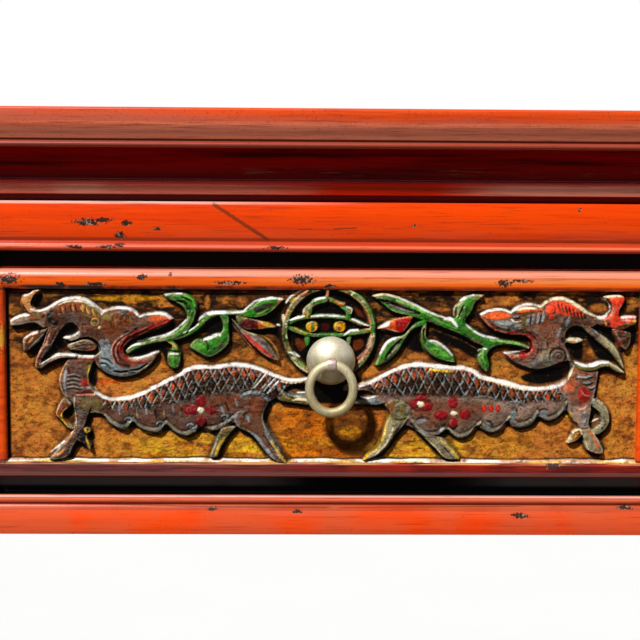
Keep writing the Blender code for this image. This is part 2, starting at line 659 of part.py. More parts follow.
RIGHT_BEAST = {
    "torso": [
        (344, 384), (358, 382), (372, 378), (388, 371), (402, 365), (422, 363), (445, 365), (460, 366), (474, 371),
        (486, 378), (505, 381), (522, 386), (538, 387), (553, 384), (566, 377), (571, 369), (568, 360), (578, 362),
        (588, 366), (599, 369), (598, 382), (595, 398), (591, 412), (588, 426), (575, 424), (566, 412), (556, 420),
        (546, 422), (538, 418), (533, 425), (523, 429), (512, 428), (507, 422), (500, 430), (490, 434), (480, 430),
        (476, 427), (468, 437), (458, 440), (450, 435), (446, 431), (436, 437), (424, 438), (413, 430), (400, 424),
        (386, 410), (378, 400), (366, 392), (344, 392),
    ],
    "tail": [(344, 400), (360, 399), (376, 394), (386, 402), (376, 406), (360, 405), (344, 406)],
    "hind_leg": [
        (384, 404), (395, 398), (407, 404), (409, 416), (402, 428), (394, 437), (388, 447), (378, 456), (362, 462),
        (364, 456), (376, 448), (381, 436), (384, 424), (388, 414),
    ],
    "far_leg": [(412, 428), (428, 434), (441, 437), (452, 448), (460, 460), (444, 460), (434, 450), (423, 440)],
    "front_leg": [
        (572, 412), (578, 428), (583, 440), (587, 451), (596, 455), (604, 454), (602, 445), (595, 433), (590, 424),
        (592, 408), (582, 402),
    ],
    "tuft": [(593, 397), (603, 404), (610, 414), (610, 424), (604, 432), (596, 436), (590, 430), (600, 423),
             (599, 414), (592, 407)],
    "spur": [(566, 444), (571, 436), (570, 432), (577, 428), (584, 432), (581, 438), (574, 443)],
    "head": [
        (601, 322), (591, 312), (580, 304), (568, 298), (556, 297), (546, 301), (539, 306), (530, 302), (518, 304),
        (510, 310), (500, 308), (489, 310), (479, 315), (485, 325), (495, 332), (510, 336), (524, 337), (531, 344),
        (529, 351), (520, 354), (503, 352), (510, 361), (522, 367), (537, 370), (552, 367), (566, 362), (574, 364),
        (570, 352), (566, 344), (574, 345), (583, 341), (574, 338), (567, 338), (568, 331), (576, 327), (588, 330),
    ],
    "mane_strand": [(578, 322), (592, 329), (604, 341), (616, 351), (623, 362), (627, 373), (618, 363), (608, 351),
                    (598, 343), (586, 333)],
    "neck_lock": [(572, 360), (588, 364), (600, 361), (610, 362), (620, 368), (627, 374), (616, 373), (606, 368),
                  (592, 372), (578, 370)],
    "mane_up": [(598, 318), (608, 316), (612, 306), (604, 298), (612, 295), (624, 295), (626, 302), (620, 314),
                (631, 315), (636, 318), (635, 325), (626, 329), (612, 330), (600, 327)],
    "mane_low": [(606, 327), (617, 329), (626, 348), (619, 348), (609, 335)],
}
LEFT_BRANCH = {
    "stem": [
        (124, 350), (132, 344), (146, 340), (160, 336), (172, 332), (181, 325), (185, 317), (182, 309), (174, 303),
        (166, 300), (163, 295), (172, 293), (184, 293), (193, 298), (197, 306), (196, 317), (191, 327), (198, 322),
        (206, 315), (218, 311), (232, 310), (244, 310), (254, 303), (264, 298), (283, 299), (276, 308), (266, 316),
        (252, 319), (236, 317), (218, 317), (208, 321), (200, 329), (190, 336), (176, 341), (160, 343), (146, 346),
        (134, 351), (127, 355),
    ],
    "bud": [(160, 340), (170, 346), (166, 353), (166, 363), (171, 369), (178, 368), (181, 357), (178, 348),
            (171, 338)],
    "leaf": [(217, 314), (228, 314), (229, 330), (229, 343), (219, 353), (208, 358), (196, 353), (188, 347),
             (194, 339), (205, 338), (219, 332), (221, 324)],
    "spindle": [(229, 317), (244, 329), (258, 335), (270, 346), (279, 361), (266, 358), (252, 347), (238, 332)],
    "red_bud": [(234, 315), (248, 317), (262, 321), (276, 327), (264, 330), (246, 331), (237, 325)],
}
RIGHT_BRANCH = {
    "stem": [
        (529, 346), (516, 341), (500, 339), (488, 337), (476, 330), (466, 322), (472, 312), (476, 303), (484, 296),
        (474, 294), (463, 299), (456, 306), (455, 316), (446, 319), (434, 313), (418, 306), (400, 298), (384, 293),
        (371, 296), (380, 304), (392, 313), (408, 317), (420, 321), (440, 328), (458, 335), (472, 343), (482, 348),
        (476, 356), (479, 366), (486, 373), (490, 366), (488, 354), (496, 347), (512, 346), (528, 350),
    ],
    "leaf_low": [(424, 318), (410, 326), (402, 334), (388, 340), (380, 350), (373, 366), (384, 364), (396, 354),
                 (404, 342), (412, 331), (426, 325)],
    "leaf": [(421, 322), (420, 340), (426, 352), (438, 360), (455, 363), (451, 352), (440, 344), (427, 338),
             (427, 323)],
    "red_bud": [(375, 329), (386, 321), (398, 317), (413, 316), (406, 330), (399, 334), (386, 331)],
}
MEDALLION_CENTRE = (328, 332)
MEDALLION_OUTER = 48
MEDALLION_INNER = 41
ROUNDELS = ((311, 327), (339, 327))
ROUNDEL_RADIUS = 6.5
FRET = {
    "eye_upper": [(281, 321), (298, 316), (314, 314), (330, 314), (346, 316), (360, 321), (372, 327), (360, 327),
                  (346, 322), (330, 320), (314, 320), (298, 322), (284, 328)],
    "eye_lower": [(282, 322), (296, 328), (310, 332), (330, 333), (348, 331), (372, 327), (372, 333), (350, 337),
                  (330, 339), (308, 338), (294, 334), (282, 328)],
    "crest_left": [(323, 288), (330, 288), (329, 300), (318, 304), (310, 310), (309, 319), (302, 319), (303, 309),
                   (312, 300), (323, 297)],
    "crest_right": [(326, 296), (334, 300), (344, 304), (350, 311), (350, 321), (343, 320), (343, 312), (336, 306),
                    (325, 302)],
}

# Heights of the relief over the ground, and how its walls lean in
BEAST_HEIGHT = 0.0050
LIMB_HEIGHT = 0.0056
HEAD_HEIGHT = 0.0053
FOLIAGE_HEIGHT = 0.0046
MEDALLION_HEIGHT = 0.0043
FRET_HEIGHT = 0.0038
WALL_LEAN = 0.0011
WALL_LEAN_SHARE = 0.28


def blend(first, second, share):
    return first + (second - first) * share


def on_field(point):
    """Lay a point of the sheet on the field, as (x from the drawer's middle, z)."""
    rough = (point[0] - SHEET_LEFT_TOP[0]) / (SHEET_RIGHT_TOP[0] - SHEET_LEFT_TOP[0])
    top = blend(SHEET_LEFT_TOP[1], SHEET_RIGHT_TOP[1], rough)
    bottom = blend(SHEET_LEFT_BOTTOM[1], SHEET_RIGHT_BOTTOM[1], rough)
    down = (point[1] - top) / (bottom - top)
    left = blend(SHEET_LEFT_TOP[0], SHEET_LEFT_BOTTOM[0], down)
    right = blend(SHEET_RIGHT_TOP[0], SHEET_RIGHT_BOTTOM[0], down)
    across = (point[0] - left) / (right - left)
    return ((across - 0.5) * FIELD_WIDTH, blend(FIELD_TOP, FIELD_BOTTOM, down))


def segment_distance(point, start, stop):
    along = (stop[0] - start[0], stop[1] - start[1])
    length = along[0] ** 2 + along[1] ** 2
    share = ((point[0] - start[0]) * along[0] + (point[1] - start[1]) * along[1]) / length
    share = min(1.0, max(0.0, share))
    return math.dist(point, (start[0] + share * along[0], start[1] + share * along[1]))


def drawn_in(outline):
    """Draw an outline in along its corners' bisectors, less where the shape is narrow."""
    count = len(outline)
    area = sum(outline[i - 1][0] * outline[i][1] - outline[i][0] * outline[i - 1][1] for i in range(count))
    turn = math.copysign(1.0, area)
    inner = []
    for i, point in enumerate(outline):
        before = outline[i - 1]
        after = outline[(i + 1) % count]
        normal = (-(after[1] - before[1]) * turn, (after[0] - before[0]) * turn)
        size = math.hypot(*normal)
        room = min(
            segment_distance(point, outline[j], outline[(j + 1) % count])
            for j in range(count) if j != i and (j + 1) % count != i
        )
        step = min(WALL_LEAN, WALL_LEAN_SHARE * room) / size
        inner.append((point[0] + normal[0] * step, point[1] + normal[1] * step))
    return inner


def carve(front, outline, height):
    """Stand one motif on the ground of a drawer front."""
    foot = [(x, GROUND_Y + OVERLAP, z) for x, z in outline]
    crown = [(x, GROUND_Y - height, z) for x, z in drawn_in(outline)]
    add(front, loft("motif", [foot, crown], "carved"))


def circle(centre, radius, count):
    points = []
    for i in range(count):
        turn = 2 * math.pi * i / count
        points.append((centre[0] + radius * math.cos(turn), centre[1] + radius * math.sin(turn)))
    return points


def carve_medallion(front):
    sides = 24
    outer = [on_field(point) for point in circle(MEDALLION_CENTRE, MEDALLION_OUTER, sides)]
    inner = [on_field(point) for point in circle(MEDALLION_CENTRE, MEDALLION_INNER, sides)]
    crown = GROUND_Y - MEDALLION_HEIGHT
    band = loft("motif", [[(x, y, z) for x, z in outer] for y in (GROUND_Y + OVERLAP, crown)], "carved")
    hole = loft("tool", [[(x, y, z) for x, z in inner] for y in (GROUND_Y + CUT_PAST, crown - CUT_PAST)], "carved")
    cut(band, hole)
    add(front, band)
    for name in FRET:
        carve(front, [on_field(point) for point in FRET[name]], FRET_HEIGHT)
    for centre in ROUNDELS:
        carve(front, [on_field(point) for point in circle(centre, ROUNDEL_RADIUS, 10)], FRET_HEIGHT)


def carve_relief(front):
    heights = {"torso": BEAST_HEIGHT, "tail": BEAST_HEIGHT - CLEARANCE, "head": HEAD_HEIGHT}
    for beast in (LEFT_BEAST, RIGHT_BEAST):
        for name in beast:
            carve(front, [on_field(point) for point in beast[name]], heights.get(name, LIMB_HEIGHT))
    for branch in (LEFT_BRANCH, RIGHT_BRANCH):
        for name in branch:
            height = FOLIAGE_HEIGHT if name == "stem" else FOLIAGE_HEIGHT - CLEARANCE
            carve(front, [on_field(point) for point in branch[name]], height)
    carve_medallion(front)


# A drawer: carved front, dovetailed sides, back and bottom, in a bay whose middle is at x = 0

BEAD_PROFILE = (
    (0.00, 0.00, 0.75), (0.10, 0.35, 0.30), (0.28, 0.60, 0.06), (0.50, 0.80, 0.00),
    (0.72, 0.90, 0.08), (0.92, 0.97, 0.40), (1.00, 1.00, 0.75), (1.00, 1.00, 1.00),
)
SIDE_TOP = DRAWER_TOP - SIDE_DROP
SIDE_OUTER = DRAWER_WIDTH / 2
SIDE_INNER = SIDE_OUTER - SIDE_THICKNESS
BOTTOM_LOW = DRAWER_BOTTOM + BOTTOM_RISE
BOTTOM_HIGH = BOTTOM_LOW + BOTTOM_THICKNESS


def bead_ring(share, low_share, y):
    x = DRAWER_WIDTH / 2 - share * STILE
    low = DRAWER_BOTTOM + low_share * LOW_BEAD
    high = DRAWER_TOP - share * TOP_BEAD
    return [(-x, y, low), (x, y, low), (x, y, high), (-x, y, high)]


def dovetail(hand, centre, slack):
    """One tail at a side's front end, as wide again as the slack on every face."""
    root = DOVETAIL_WIDTH / 2 + slack
    tip = root + DOVETAIL_SLOPE
    y_root = FRONT_BACK_Y + OVERLAP
    y_tip = FRONT_BACK_Y - DOVETAIL_LENGTH - slack
    outline = [(y_root, centre - root), (y_root, centre + root), (y_tip, centre + tip), (y_tip, centre - tip)]
    reach = CUT_PAST if slack else 0.0
    xs = (hand * (SIDE_INNER - slack), hand * (SIDE_OUTER + reach))
    return loft("tool", [[(x, y, z) for y, z in outline] for x in xs], "bare")


def dovetail_places():
    step = (SIDE_TOP - BOTTOM_HIGH) / DOVETAILS
    return [BOTTOM_HIGH + step * (i + 0.5) for i in range(DOVETAILS)]


def strap_slot(depth_from, depth_to):
    half_x = STRAP_WIDTH / 2 + CLEARANCE
    half_z = STRAP_SPLIT / 2 + STRAP_THICKNESS + CLEARANCE
    low = (PULL_ASIDE - half_x, depth_from, PULL_Z - half_z)
    high = (PULL_ASIDE + half_x, depth_to, PULL_Z + half_z)
    return box("tool", low, high)


def make_drawer_front():
    rings = [bead_ring(0.0, 0.0, FRONT_BACK_Y)]
    for share, low_share, sink in BEAD_PROFILE:
        rings.append(bead_ring(share, low_share, FRONT_Y + sink * FIELD_DEPTH))
    front = loft("front", rings, "carved")
    carve_relief(front)
    pad = [[(x + PULL_ASIDE, y, z + PULL_Z) for x, z in circle((0, 0), BOSS_RADIUS + OVERLAP, BOSS_SIDES)]
           for y in (GROUND_Y + OVERLAP, PAD_Y)]
    add(front, loft("motif", pad, "carved"))
    cut(front, strap_slot(FRONT_Y - CUT_PAST, FRONT_BACK_Y + CUT_PAST))
    low = (-SIDE_INNER - BOARD_GROOVE, FRONT_BACK_Y - BOARD_GROOVE, BOTTOM_LOW - CLEARANCE)
    high = (SIDE_INNER + BOARD_GROOVE, FRONT_BACK_Y + CUT_PAST, BOTTOM_HIGH + CLEARANCE)
    cut(front, box("tool", low, high))
    for hand in (-1, 1):
        for centre in dovetail_places():
            cut(front, dovetail(hand, centre, CLEARANCE))
    return front


def make_drawer_side(hand):
    groove_low = BOTTOM_LOW - CLEARANCE
    groove_high = BOTTOM_HIGH + CLEARANCE
    deep = SIDE_INNER + BOARD_GROOVE
    outline = [
        (SIDE_OUTER, DRAWER_BOTTOM), (SIDE_OUTER, SIDE_TOP), (SIDE_INNER, SIDE_TOP), (SIDE_INNER, groove_high),
        (deep, groove_high), (deep, groove_low), (SIDE_INNER, groove_low), (SIDE_INNER, DRAWER_BOTTOM),
    ]
    ends = (FRONT_BACK_Y + CLEARANCE, DRAWER_BACK_Y)
    side = loft("side", [[(hand * x, y, z) for x, z in outline] for y in ends], "bare")
    for centre in dovetail_places():
        add(side, dovetail(hand, centre, 0.0))
    dado_x = sorted((hand * (SIDE_INNER - CUT_PAST), hand * deep))
    back_y = DRAWER_BACK_Y - BACK_INSET
    low = (dado_x[0], back_y - BACK_THICKNESS - CLEARANCE, BOTTOM_HIGH)
    high = (dado_x[1], back_y + CLEARANCE, SIDE_TOP + CUT_PAST)
    cut(side, box("tool", low, high))
    return side


def make_drawer_back():
    half = SIDE_INNER + BOARD_GROOVE - CLEARANCE
    back_y = DRAWER_BACK_Y - BACK_INSET
    low = (-half, back_y - BACK_THICKNESS, BOTTOM_HIGH + 2 * CLEARANCE)
    return box("back", low, (half, back_y, SIDE_TOP))


def make_drawer_bottom():
    half = SIDE_INNER + BOARD_GROOVE - CLEARANCE
    low = (-half, FRONT_BACK_Y - BOARD_GROOVE + CLEARANCE, BOTTOM_LOW)
    return box("bottom", low, (half, DRAWER_BACK_Y, BOTTOM_HIGH))


# The pull: a hollow boss, a split strap bent round the ring, and the ring


BOSS_PROFILE = ((1.00, 0.00), (1.00, 0.08), (0.96, 0.30), (0.86, 0.55), (0.68, 0.78), (0.42, 0.94), (0.16, 1.00))


def boss_ring(radius, rise):
    y = PAD_Y - CLEARANCE - rise
    return [(x + PULL_ASIDE, y, z + PULL_Z) for x, z in circle((0, 0), radius, BOSS_SIDES)]


def make_boss():
    inner_radius = BOSS_RADIUS - BOSS_WALL
    inner_height = BOSS_HEIGHT - BOSS_WALL
    inner = [boss_ring(share * inner_radius, rise * inner_height) for share, rise in BOSS_PROFILE]
    outer = [boss_ring(share * BOSS_RADIUS, rise * BOSS_HEIGHT) for share, rise in BOSS_PROFILE]
    boss = loft("boss", inner[::-1] + outer, "brass")
    cut(boss, strap_slot(BOSS_TIP_Y - CUT_PAST, PAD_Y + CUT_PAST))
    return boss


def make_strap():
    """A strip bent into an eye, with its two ends clinched behind the front, as a bent outline."""
    inner_half = STRAP_SPLIT / 2
    outer_half = inner_half + STRAP_THICKNESS
    inner_radius = EYE_RADIUS
    outer_radius = EYE_RADIUS + STRAP_THICKNESS
    behind = FRONT_BACK_Y + CLEARANCE
    far = behind + STRAP_THICKNESS

    def eye_half(radius, half):
        start = math.asin(half / radius)
        steps = 9
        turns = [blend(start, math.pi, step / steps) for step in range(steps + 1)]
        return [(HINGE_Y + radius * math.cos(turn), radius * math.sin(turn)) for turn in turns]

    outer = [(far, STRAP_CLINCH), (behind, STRAP_CLINCH), (behind, outer_half)] + eye_half(outer_radius, outer_half)
    inner = [(far, inner_half)] + eye_half(inner_radius, inner_half)
    outer += [(y, -z) for y, z in outer[-2::-1]]
    inner += [(y, -z) for y, z in inner[-2::-1]]
    outline = outer + inner[::-1]
    xs = (PULL_ASIDE - STRAP_WIDTH / 2, PULL_ASIDE + STRAP_WIDTH / 2)
    return loft("strap", [[(x, y, z + PULL_Z) for y, z in outline] for x in xs], "strap")


def make_ring():
    """An oval ring hanging below its hinge axis, which passes through the origin."""
    shape = bmesh.new()
    turns = 24
    sides = 8
    loops = []
    for i in range(turns):
        turn = 2 * math.pi * i / turns
        middle = (RING_HALF_WIDTH * math.sin(turn), RING_HALF_HEIGHT * (math.cos(turn) - 1))
        out = (RING_HALF_HEIGHT * math.sin(turn), RING_HALF_WIDTH * math.cos(turn))
        size = math.hypot(*out)
        loop = []
        for x, y in circle((0, 0), WIRE_RADIUS, sides):
            loop.append(shape.verts.new((middle[0] + x * out[0] / size, y, middle[1] + x * out[1] / size)))
        loops.append(loop)
    for i, loop in enumerate(loops):
        following = loops[(i + 1) % turns]
        for j in range(sides):
            k = (j + 1) % sides
            shape.faces.new((loop[j], loop[k], following[k], following[j]))
    return finish(shape, "ring", "brass")


def anchor(name, place_at, parent=None):
    empty = bpy.data.objects.new(name, None)
    empty.location = place_at
    empty.parent = parent
    bpy.context.collection.objects.link(empty)
    return empty


def hang(name, pattern, parent):
    """One more piece with the pattern's mesh, carried by a parent."""
    piece = bpy.data.objects.new(name, pattern.data)
    piece.parent = parent
    bpy.context.collection.objects.link(piece)


def make_drawers():
    patterns = {
        "front": make_drawer_front(), "left_side": make_drawer_side(-1), "right_side": make_drawer_side(1),
        "back": make_drawer_back(), "bottom": make_drawer_bottom(), "pull_boss": make_boss(),
        "pull_strap": make_strap(),
    }
    ring = make_ring()
    for number, bay in enumerate(BAYS):
        x = (number - (len(BAYS) - 1) / 2) * BAY_PITCH
        slide = anchor(bay + "_drawer_slide", (x, 0.0, 0.0))
        for word, pattern in patterns.items():
            hang(bay + "_drawer_" + word, pattern, slide)
        hinge = anchor(bay + "_ring_hinge", (PULL_ASIDE, HINGE_Y, PULL_Z), slide)
        hang(bay + "_drawer_pull_ring", ring, hinge)
    for pattern in (*patterns.values(), ring):
        bpy.data.objects.remove(pattern)


make_top()
make_waist()
make_legs()
make_rails()
make_panels()
make_posts()
make_runners()
make_spandrels()
make_drawers()
bpy.context.view_layer.update()
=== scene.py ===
# %% [markdown]
# # A red lacquered altar table, looked at closely
#
# The solids of this table were made first, as plain CAD, and packed into one model.
# Here they get their looks: worn lacquer, carved and painted drawer fronts, and old metal pulls.
# The packed model is loaded as a fixed frame, so every new piece is placed by the solid it dresses.

import json
import math

import bmesh
import bpy
import numpy as np
from mathutils import Matrix, Vector


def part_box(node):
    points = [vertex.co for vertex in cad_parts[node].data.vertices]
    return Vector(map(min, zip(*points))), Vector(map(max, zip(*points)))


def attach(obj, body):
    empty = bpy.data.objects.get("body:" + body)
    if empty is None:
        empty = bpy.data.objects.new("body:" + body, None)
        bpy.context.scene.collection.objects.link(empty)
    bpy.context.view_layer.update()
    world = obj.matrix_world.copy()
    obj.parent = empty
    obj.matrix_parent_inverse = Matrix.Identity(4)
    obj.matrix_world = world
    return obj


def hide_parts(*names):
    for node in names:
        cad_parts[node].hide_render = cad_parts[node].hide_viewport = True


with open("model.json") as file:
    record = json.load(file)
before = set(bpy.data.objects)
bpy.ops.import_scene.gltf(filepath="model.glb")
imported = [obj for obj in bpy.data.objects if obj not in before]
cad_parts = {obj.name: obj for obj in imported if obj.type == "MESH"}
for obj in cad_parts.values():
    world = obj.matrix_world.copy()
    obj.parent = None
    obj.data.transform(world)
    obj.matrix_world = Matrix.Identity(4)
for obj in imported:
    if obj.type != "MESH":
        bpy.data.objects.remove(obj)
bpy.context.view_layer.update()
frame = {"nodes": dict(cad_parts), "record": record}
BAYS = ("left", "middle", "right")
BODY_OF = {node: body for body, nodes in frame["record"]["behaviour"]["bodies"].items() for node in nodes}
print("nodes loaded:", len(frame["nodes"]))

# %% [markdown]
# ## Where the drawer is
#
# The photograph shows the middle drawer, so its front is the ruler for the camera and for the carving.
# Its box comes from the solid itself. Only the frame round the sunk field has widths of its own.

# %% Measure the middle drawer
FRONT_LOW, FRONT_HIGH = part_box("middle_drawer_front")
FACE_Y = FRONT_LOW.y
FIELD_DEPTH = 0.006
GROUND_Y = FACE_Y + FIELD_DEPTH
TOP_BEAD = 0.0130
LOW_BEAD = 0.0108
STILE = 0.0082
FIELD_LEFT = FRONT_LOW.x + STILE
FIELD_RIGHT = FRONT_HIGH.x - STILE
FIELD_TOP = FRONT_HIGH.z - TOP_BEAD
FIELD_BOTTOM = FRONT_LOW.z + LOW_BEAD
BAY_SHIFT = {bay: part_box(bay + "_drawer_front")[0].x - FRONT_LOW.x for bay in BAYS}
print("field of", round(FIELD_RIGHT - FIELD_LEFT, 4), "by", round(FIELD_TOP - FIELD_BOTTOM, 4), "m")

# %% [markdown]
# ## The camera
#
# The picture was taken close by with a long lens, a little above the drawer and a little to its left.
# The lens follows from how much the upright edges lean together, and the height from the top's edge,
# which is seen from just below its upper face.

# %% Set up the camera
PICTURE_PIXELS = 640
FOCAL_PIXELS = 1630
SENSOR_WIDTH = 36.0
CAMERA_AWAY = 1.0918
CAMERA_HEIGHT = 0.8514
CAMERA_ASIDE = -0.0245
PITCH_DOWN = math.radians(6.94)
YAW_RIGHT = math.radians(1.15)
ROLL = math.radians(0.42)

camera_data = bpy.data.cameras.new("camera")
camera_data.sensor_width = SENSOR_WIDTH
camera_data.lens = SENSOR_WIDTH * FOCAL_PIXELS / PICTURE_PIXELS
camera_data.clip_start = 0.01
camera = bpy.data.objects.new("camera", camera_data)
ahead = Vector((math.sin(YAW_RIGHT), math.cos(YAW_RIGHT), -math.tan(PITCH_DOWN)))
facing = ahead.to_track_quat("-Z", "Y").to_matrix().to_4x4() @ Matrix.Rotation(ROLL, 4, "Z")
camera.rotation_euler = facing.to_euler()
camera.location = (CAMERA_ASIDE, FACE_Y - CAMERA_AWAY, CAMERA_HEIGHT)
bpy.context.scene.collection.objects.link(camera)
bpy.context.scene.camera = camera


def seen(column, row, y):
    """Where a spot of the photograph lies on an upright plane, as (x, z)."""
    half = PICTURE_PIXELS / 2
    way = facing.to_3x3() @ Vector(((column - half) / FOCAL_PIXELS, (half - row) / FOCAL_PIXELS, -1.0))
    spot = camera.location + way * ((y - camera.location.y) / way.y)
    return (spot.x, spot.z)


def pictured(x, y, z):
    """Where a spot of the table shows in the photograph, as (column, row)."""
    half = PICTURE_PIXELS / 2
    away = facing.to_3x3().transposed() @ (Vector((x, y, z)) - camera.location)
    return (half - FOCAL_PIXELS * away.x / away.z, half + FOCAL_PIXELS * away.y / away.z)


METRES_PER_PIXEL = CAMERA_AWAY / FOCAL_PIXELS
print("lens", round(camera_data.lens, 1), "mm")

# %% [markdown]
# ## Light and floor
#
# One soft key lamp stands high on the left in front, as in the photograph, where every ridge of the carving
# is bright on top and dark below. A weak even fill comes from the surroundings.
# The floor is pale and plain, and the background is white only where the camera looks at it directly.

# %% Light and floor
KEY_FROM = Vector((-0.59, -1.0, 1.17))
KEY_STRENGTH = 4.4
KEY_ANGLE = math.radians(4.0)
FILL_STRENGTH = 0.06
SKY_RISE = (0.05, 0.75)
FLOOR_SIZE = 14.0


def standard_view():
    view = bpy.context.scene.view_settings
    view.view_transform = "Standard"


def key_light():
    lamp = bpy.data.lights.new("key", "SUN")
    lamp.energy = KEY_STRENGTH
    lamp.angle = KEY_ANGLE
    key = bpy.data.objects.new("key", lamp)
    key.rotation_euler = (-KEY_FROM).to_track_quat("-Z", "Y").to_euler()
    bpy.context.scene.collection.objects.link(key)


def surroundings():
    world = bpy.data.worlds.new("surroundings")
    world.use_nodes = True
    tree = world.node_tree
    path = tree.nodes.new("ShaderNodeLightPath")
    shown = tree.nodes["Background"]
    shown.inputs["Color"].default_value = (1.0, 1.0, 1.0, 1.0)
    shown.inputs["Strength"].default_value = FILL_STRENGTH
    way = tree.nodes.new("ShaderNodeTexCoord")
    rise = tree.nodes.new("ShaderNodeSeparateXYZ")
    sky = tree.nodes.new("ShaderNodeMapRange")
    sky.inputs["From Min"].default_value, sky.inputs["From Max"].default_value = SKY_RISE
    tree.links.new(way.outputs["Generated"], rise.inputs[0])
    tree.links.new(rise.outputs["Z"], sky.inputs["Value"])
    for ray, strength in (("Is Glossy Ray", sky.outputs[0]), ("Is Camera Ray", None)):
        bright = tree.nodes.new("ShaderNodeBackground")
        bright.inputs["Color"].default_value = (1.0, 1.0, 1.0, 1.0)
        if strength:
            tree.links.new(strength, bright.inputs["Strength"])
        either = tree.nodes.new("ShaderNodeMixShader")
        tree.links.new(path.outputs[ray], either.inputs[0])
        tree.links.new(shown.outputs[0], either.inputs[1])
        tree.links.new(bright.outputs[0], either.inputs[2])
        shown = either
    tree.links.new(shown.outputs[0], tree.nodes["World Output"].inputs["Surface"])
    bpy.context.scene.world = world


standard_view()
key_light()
surroundings()
bpy.ops.object.select_all(action="DESELECT")
bpy.ops.mesh.primitive_plane_add(size=FLOOR_SIZE, location=(0.0, 0.0, 0.0))
floor = bpy.context.active_object
floor.name = "floor"
print("key lamp of strength", KEY_STRENGTH, "over a floor of", FLOOR_SIZE, "m")

# %% [markdown]
# ## Shader sums
#
# A finish is a chain of small sums: noise, times something, mixed with a colour.
# This class holds one shader socket and lets it be added and multiplied like a number,
# so that a finish below reads as a few lines of arithmetic.

# %% A socket that does sums


class Wire:
    """One shader socket, with the tree it belongs to."""

    def __init__(self, tree, socket):
        self.tree = tree
        self.socket = socket

    def node(self, kind, settings=None, sockets=None, out=0):
        """Add any node: its settings first, then its sockets, given as numbers or wires."""
        made = self.tree.nodes.new(kind)
        for name, value in (settings or {}).items():
            setattr(made, name, value)
        for name, value in (sockets or {}).items():
            if isinstance(value, Wire):
                self.tree.links.new(value.socket, made.inputs[name])
            else:
                made.inputs[name].default_value = value
        return Wire(self.tree, made.outputs[out])

    def maths(self, operation, *values):
        return self.node("ShaderNodeMath", {"operation": operation}, dict(enumerate(values)))

    def __add__(self, other):
        return self.maths("ADD", self, other)

    def __sub__(self, other):
        return self.maths("SUBTRACT", self, other)

    def __mul__(self, other):
        return self.maths("MULTIPLY", self, other)

    def __rsub__(self, other):
        return self.maths("SUBTRACT", other, self)

    __radd__ = __add__
    __rmul__ = __mul__

    def step(self, low, high):
        """Nought below low, one above high, and a soft rise between (or the other way round)."""
        sockets = {"Value": self, "From Min": low, "From Max": high}
        return self.node("ShaderNodeMapRange", {"interpolation_type": "SMOOTHSTEP"}, sockets)

    def between(self, low, high, soft):
        return self.step(low - soft, low + soft) * (1 - self.step(high - soft, high + soft))

    def most(self, other):
        return self.maths("MAXIMUM", self, other)

    def mix(self, first, second):
        """The first colour where this wire is nought and the second where it is one."""
        return self.node("ShaderNodeMix", {"data_type": "RGBA"}, {0: self, 6: first, 7: second}, 2)

    def stretch(self, scales):
        return self.node("ShaderNodeVectorMath", {"operation": "MULTIPLY"}, {0: self, 1: scales})

    def noise(self, scale, detail=3.0, roughness=0.55):
        sockets = {"Vector": self, "Scale": scale, "Detail": detail, "Roughness": roughness}
        return self.node("ShaderNodeTexNoise", None, sockets, "Fac")

    def part(self, axis):
        return self.node("ShaderNodeSeparateXYZ", None, {0: self}, axis)


print("shader sums ready, with", len(vars(Wire)), "names")

# %% [markdown]
# ## Starting and closing a finish
#
# Colours are written as a screen shows them and turned into amounts of light. A finish starts from the
# place of each spot on its piece, and it closes with one shader and, where asked, a fine bump.

# %% Start and close a finish


def linear(red, green, blue):
    """A colour as a paint chart gives it, 0 to 255, in the light values a shader needs."""
    values = []
    for share in (red / 255, green / 255, blue / 255):
        values.append(share / 12.92 if share <= 0.04045 else ((share + 0.055) / 1.055) ** 2.4)
    return (*values, 1.0)


def new_finish(name):
    """An empty material, and the wire that carries a piece's own coordinates."""
    material = bpy.data.materials.new(name)
    material.use_nodes = True
    start = Wire(material.node_tree, None)
    return material, start.node("ShaderNodeTexCoord", out="Object")


def close_finish(material, wires, constants=None, bump=None):
    """Feed the material's one shader, with an optional bump as (height wire, strength, distance)."""
    tree = material.node_tree
    shader = tree.nodes["Principled BSDF"]
    for name, value in (constants or {}).items():
        shader.inputs[name].default_value = value
    for name, wire in wires.items():
        tree.links.new(wire.socket, shader.inputs[name])
    if bump:
        height, strength, distance = bump
        sockets = {"Height": height, "Strength": strength, "Distance": distance}
        relief = height.node("ShaderNodeBump", None, sockets)
        tree.links.new(relief.socket, shader.inputs["Normal"])
    return material


# %% [markdown]
# ## The lacquers
#
# The table is painted in many thin coats of red, rubbed down by hand. Where it has worn, the coats below
# show through: darker red, then brown. The brush ran along each piece, so the streaks are noise that is
# stretched along it.

# %% Lacquer finishes
ALONG = {"x": (5.0, 90.0, 150.0), "y": (90.0, 5.0, 150.0), "z": (90.0, 90.0, 4.0)}
ORANGE_RED = (252, 80, 4)
DEEP_RED = (222, 60, 8)
RUBBED_BROWN = (84, 36, 22)
PAINTED_SHEEN_OVER_POLISH = (196, 104, 82)
LINE_BROWN = (122, 34, 16)
BARE_CHIP = (206, 158, 128)
GRAIN_BUMP = (0.3, 0.0006)


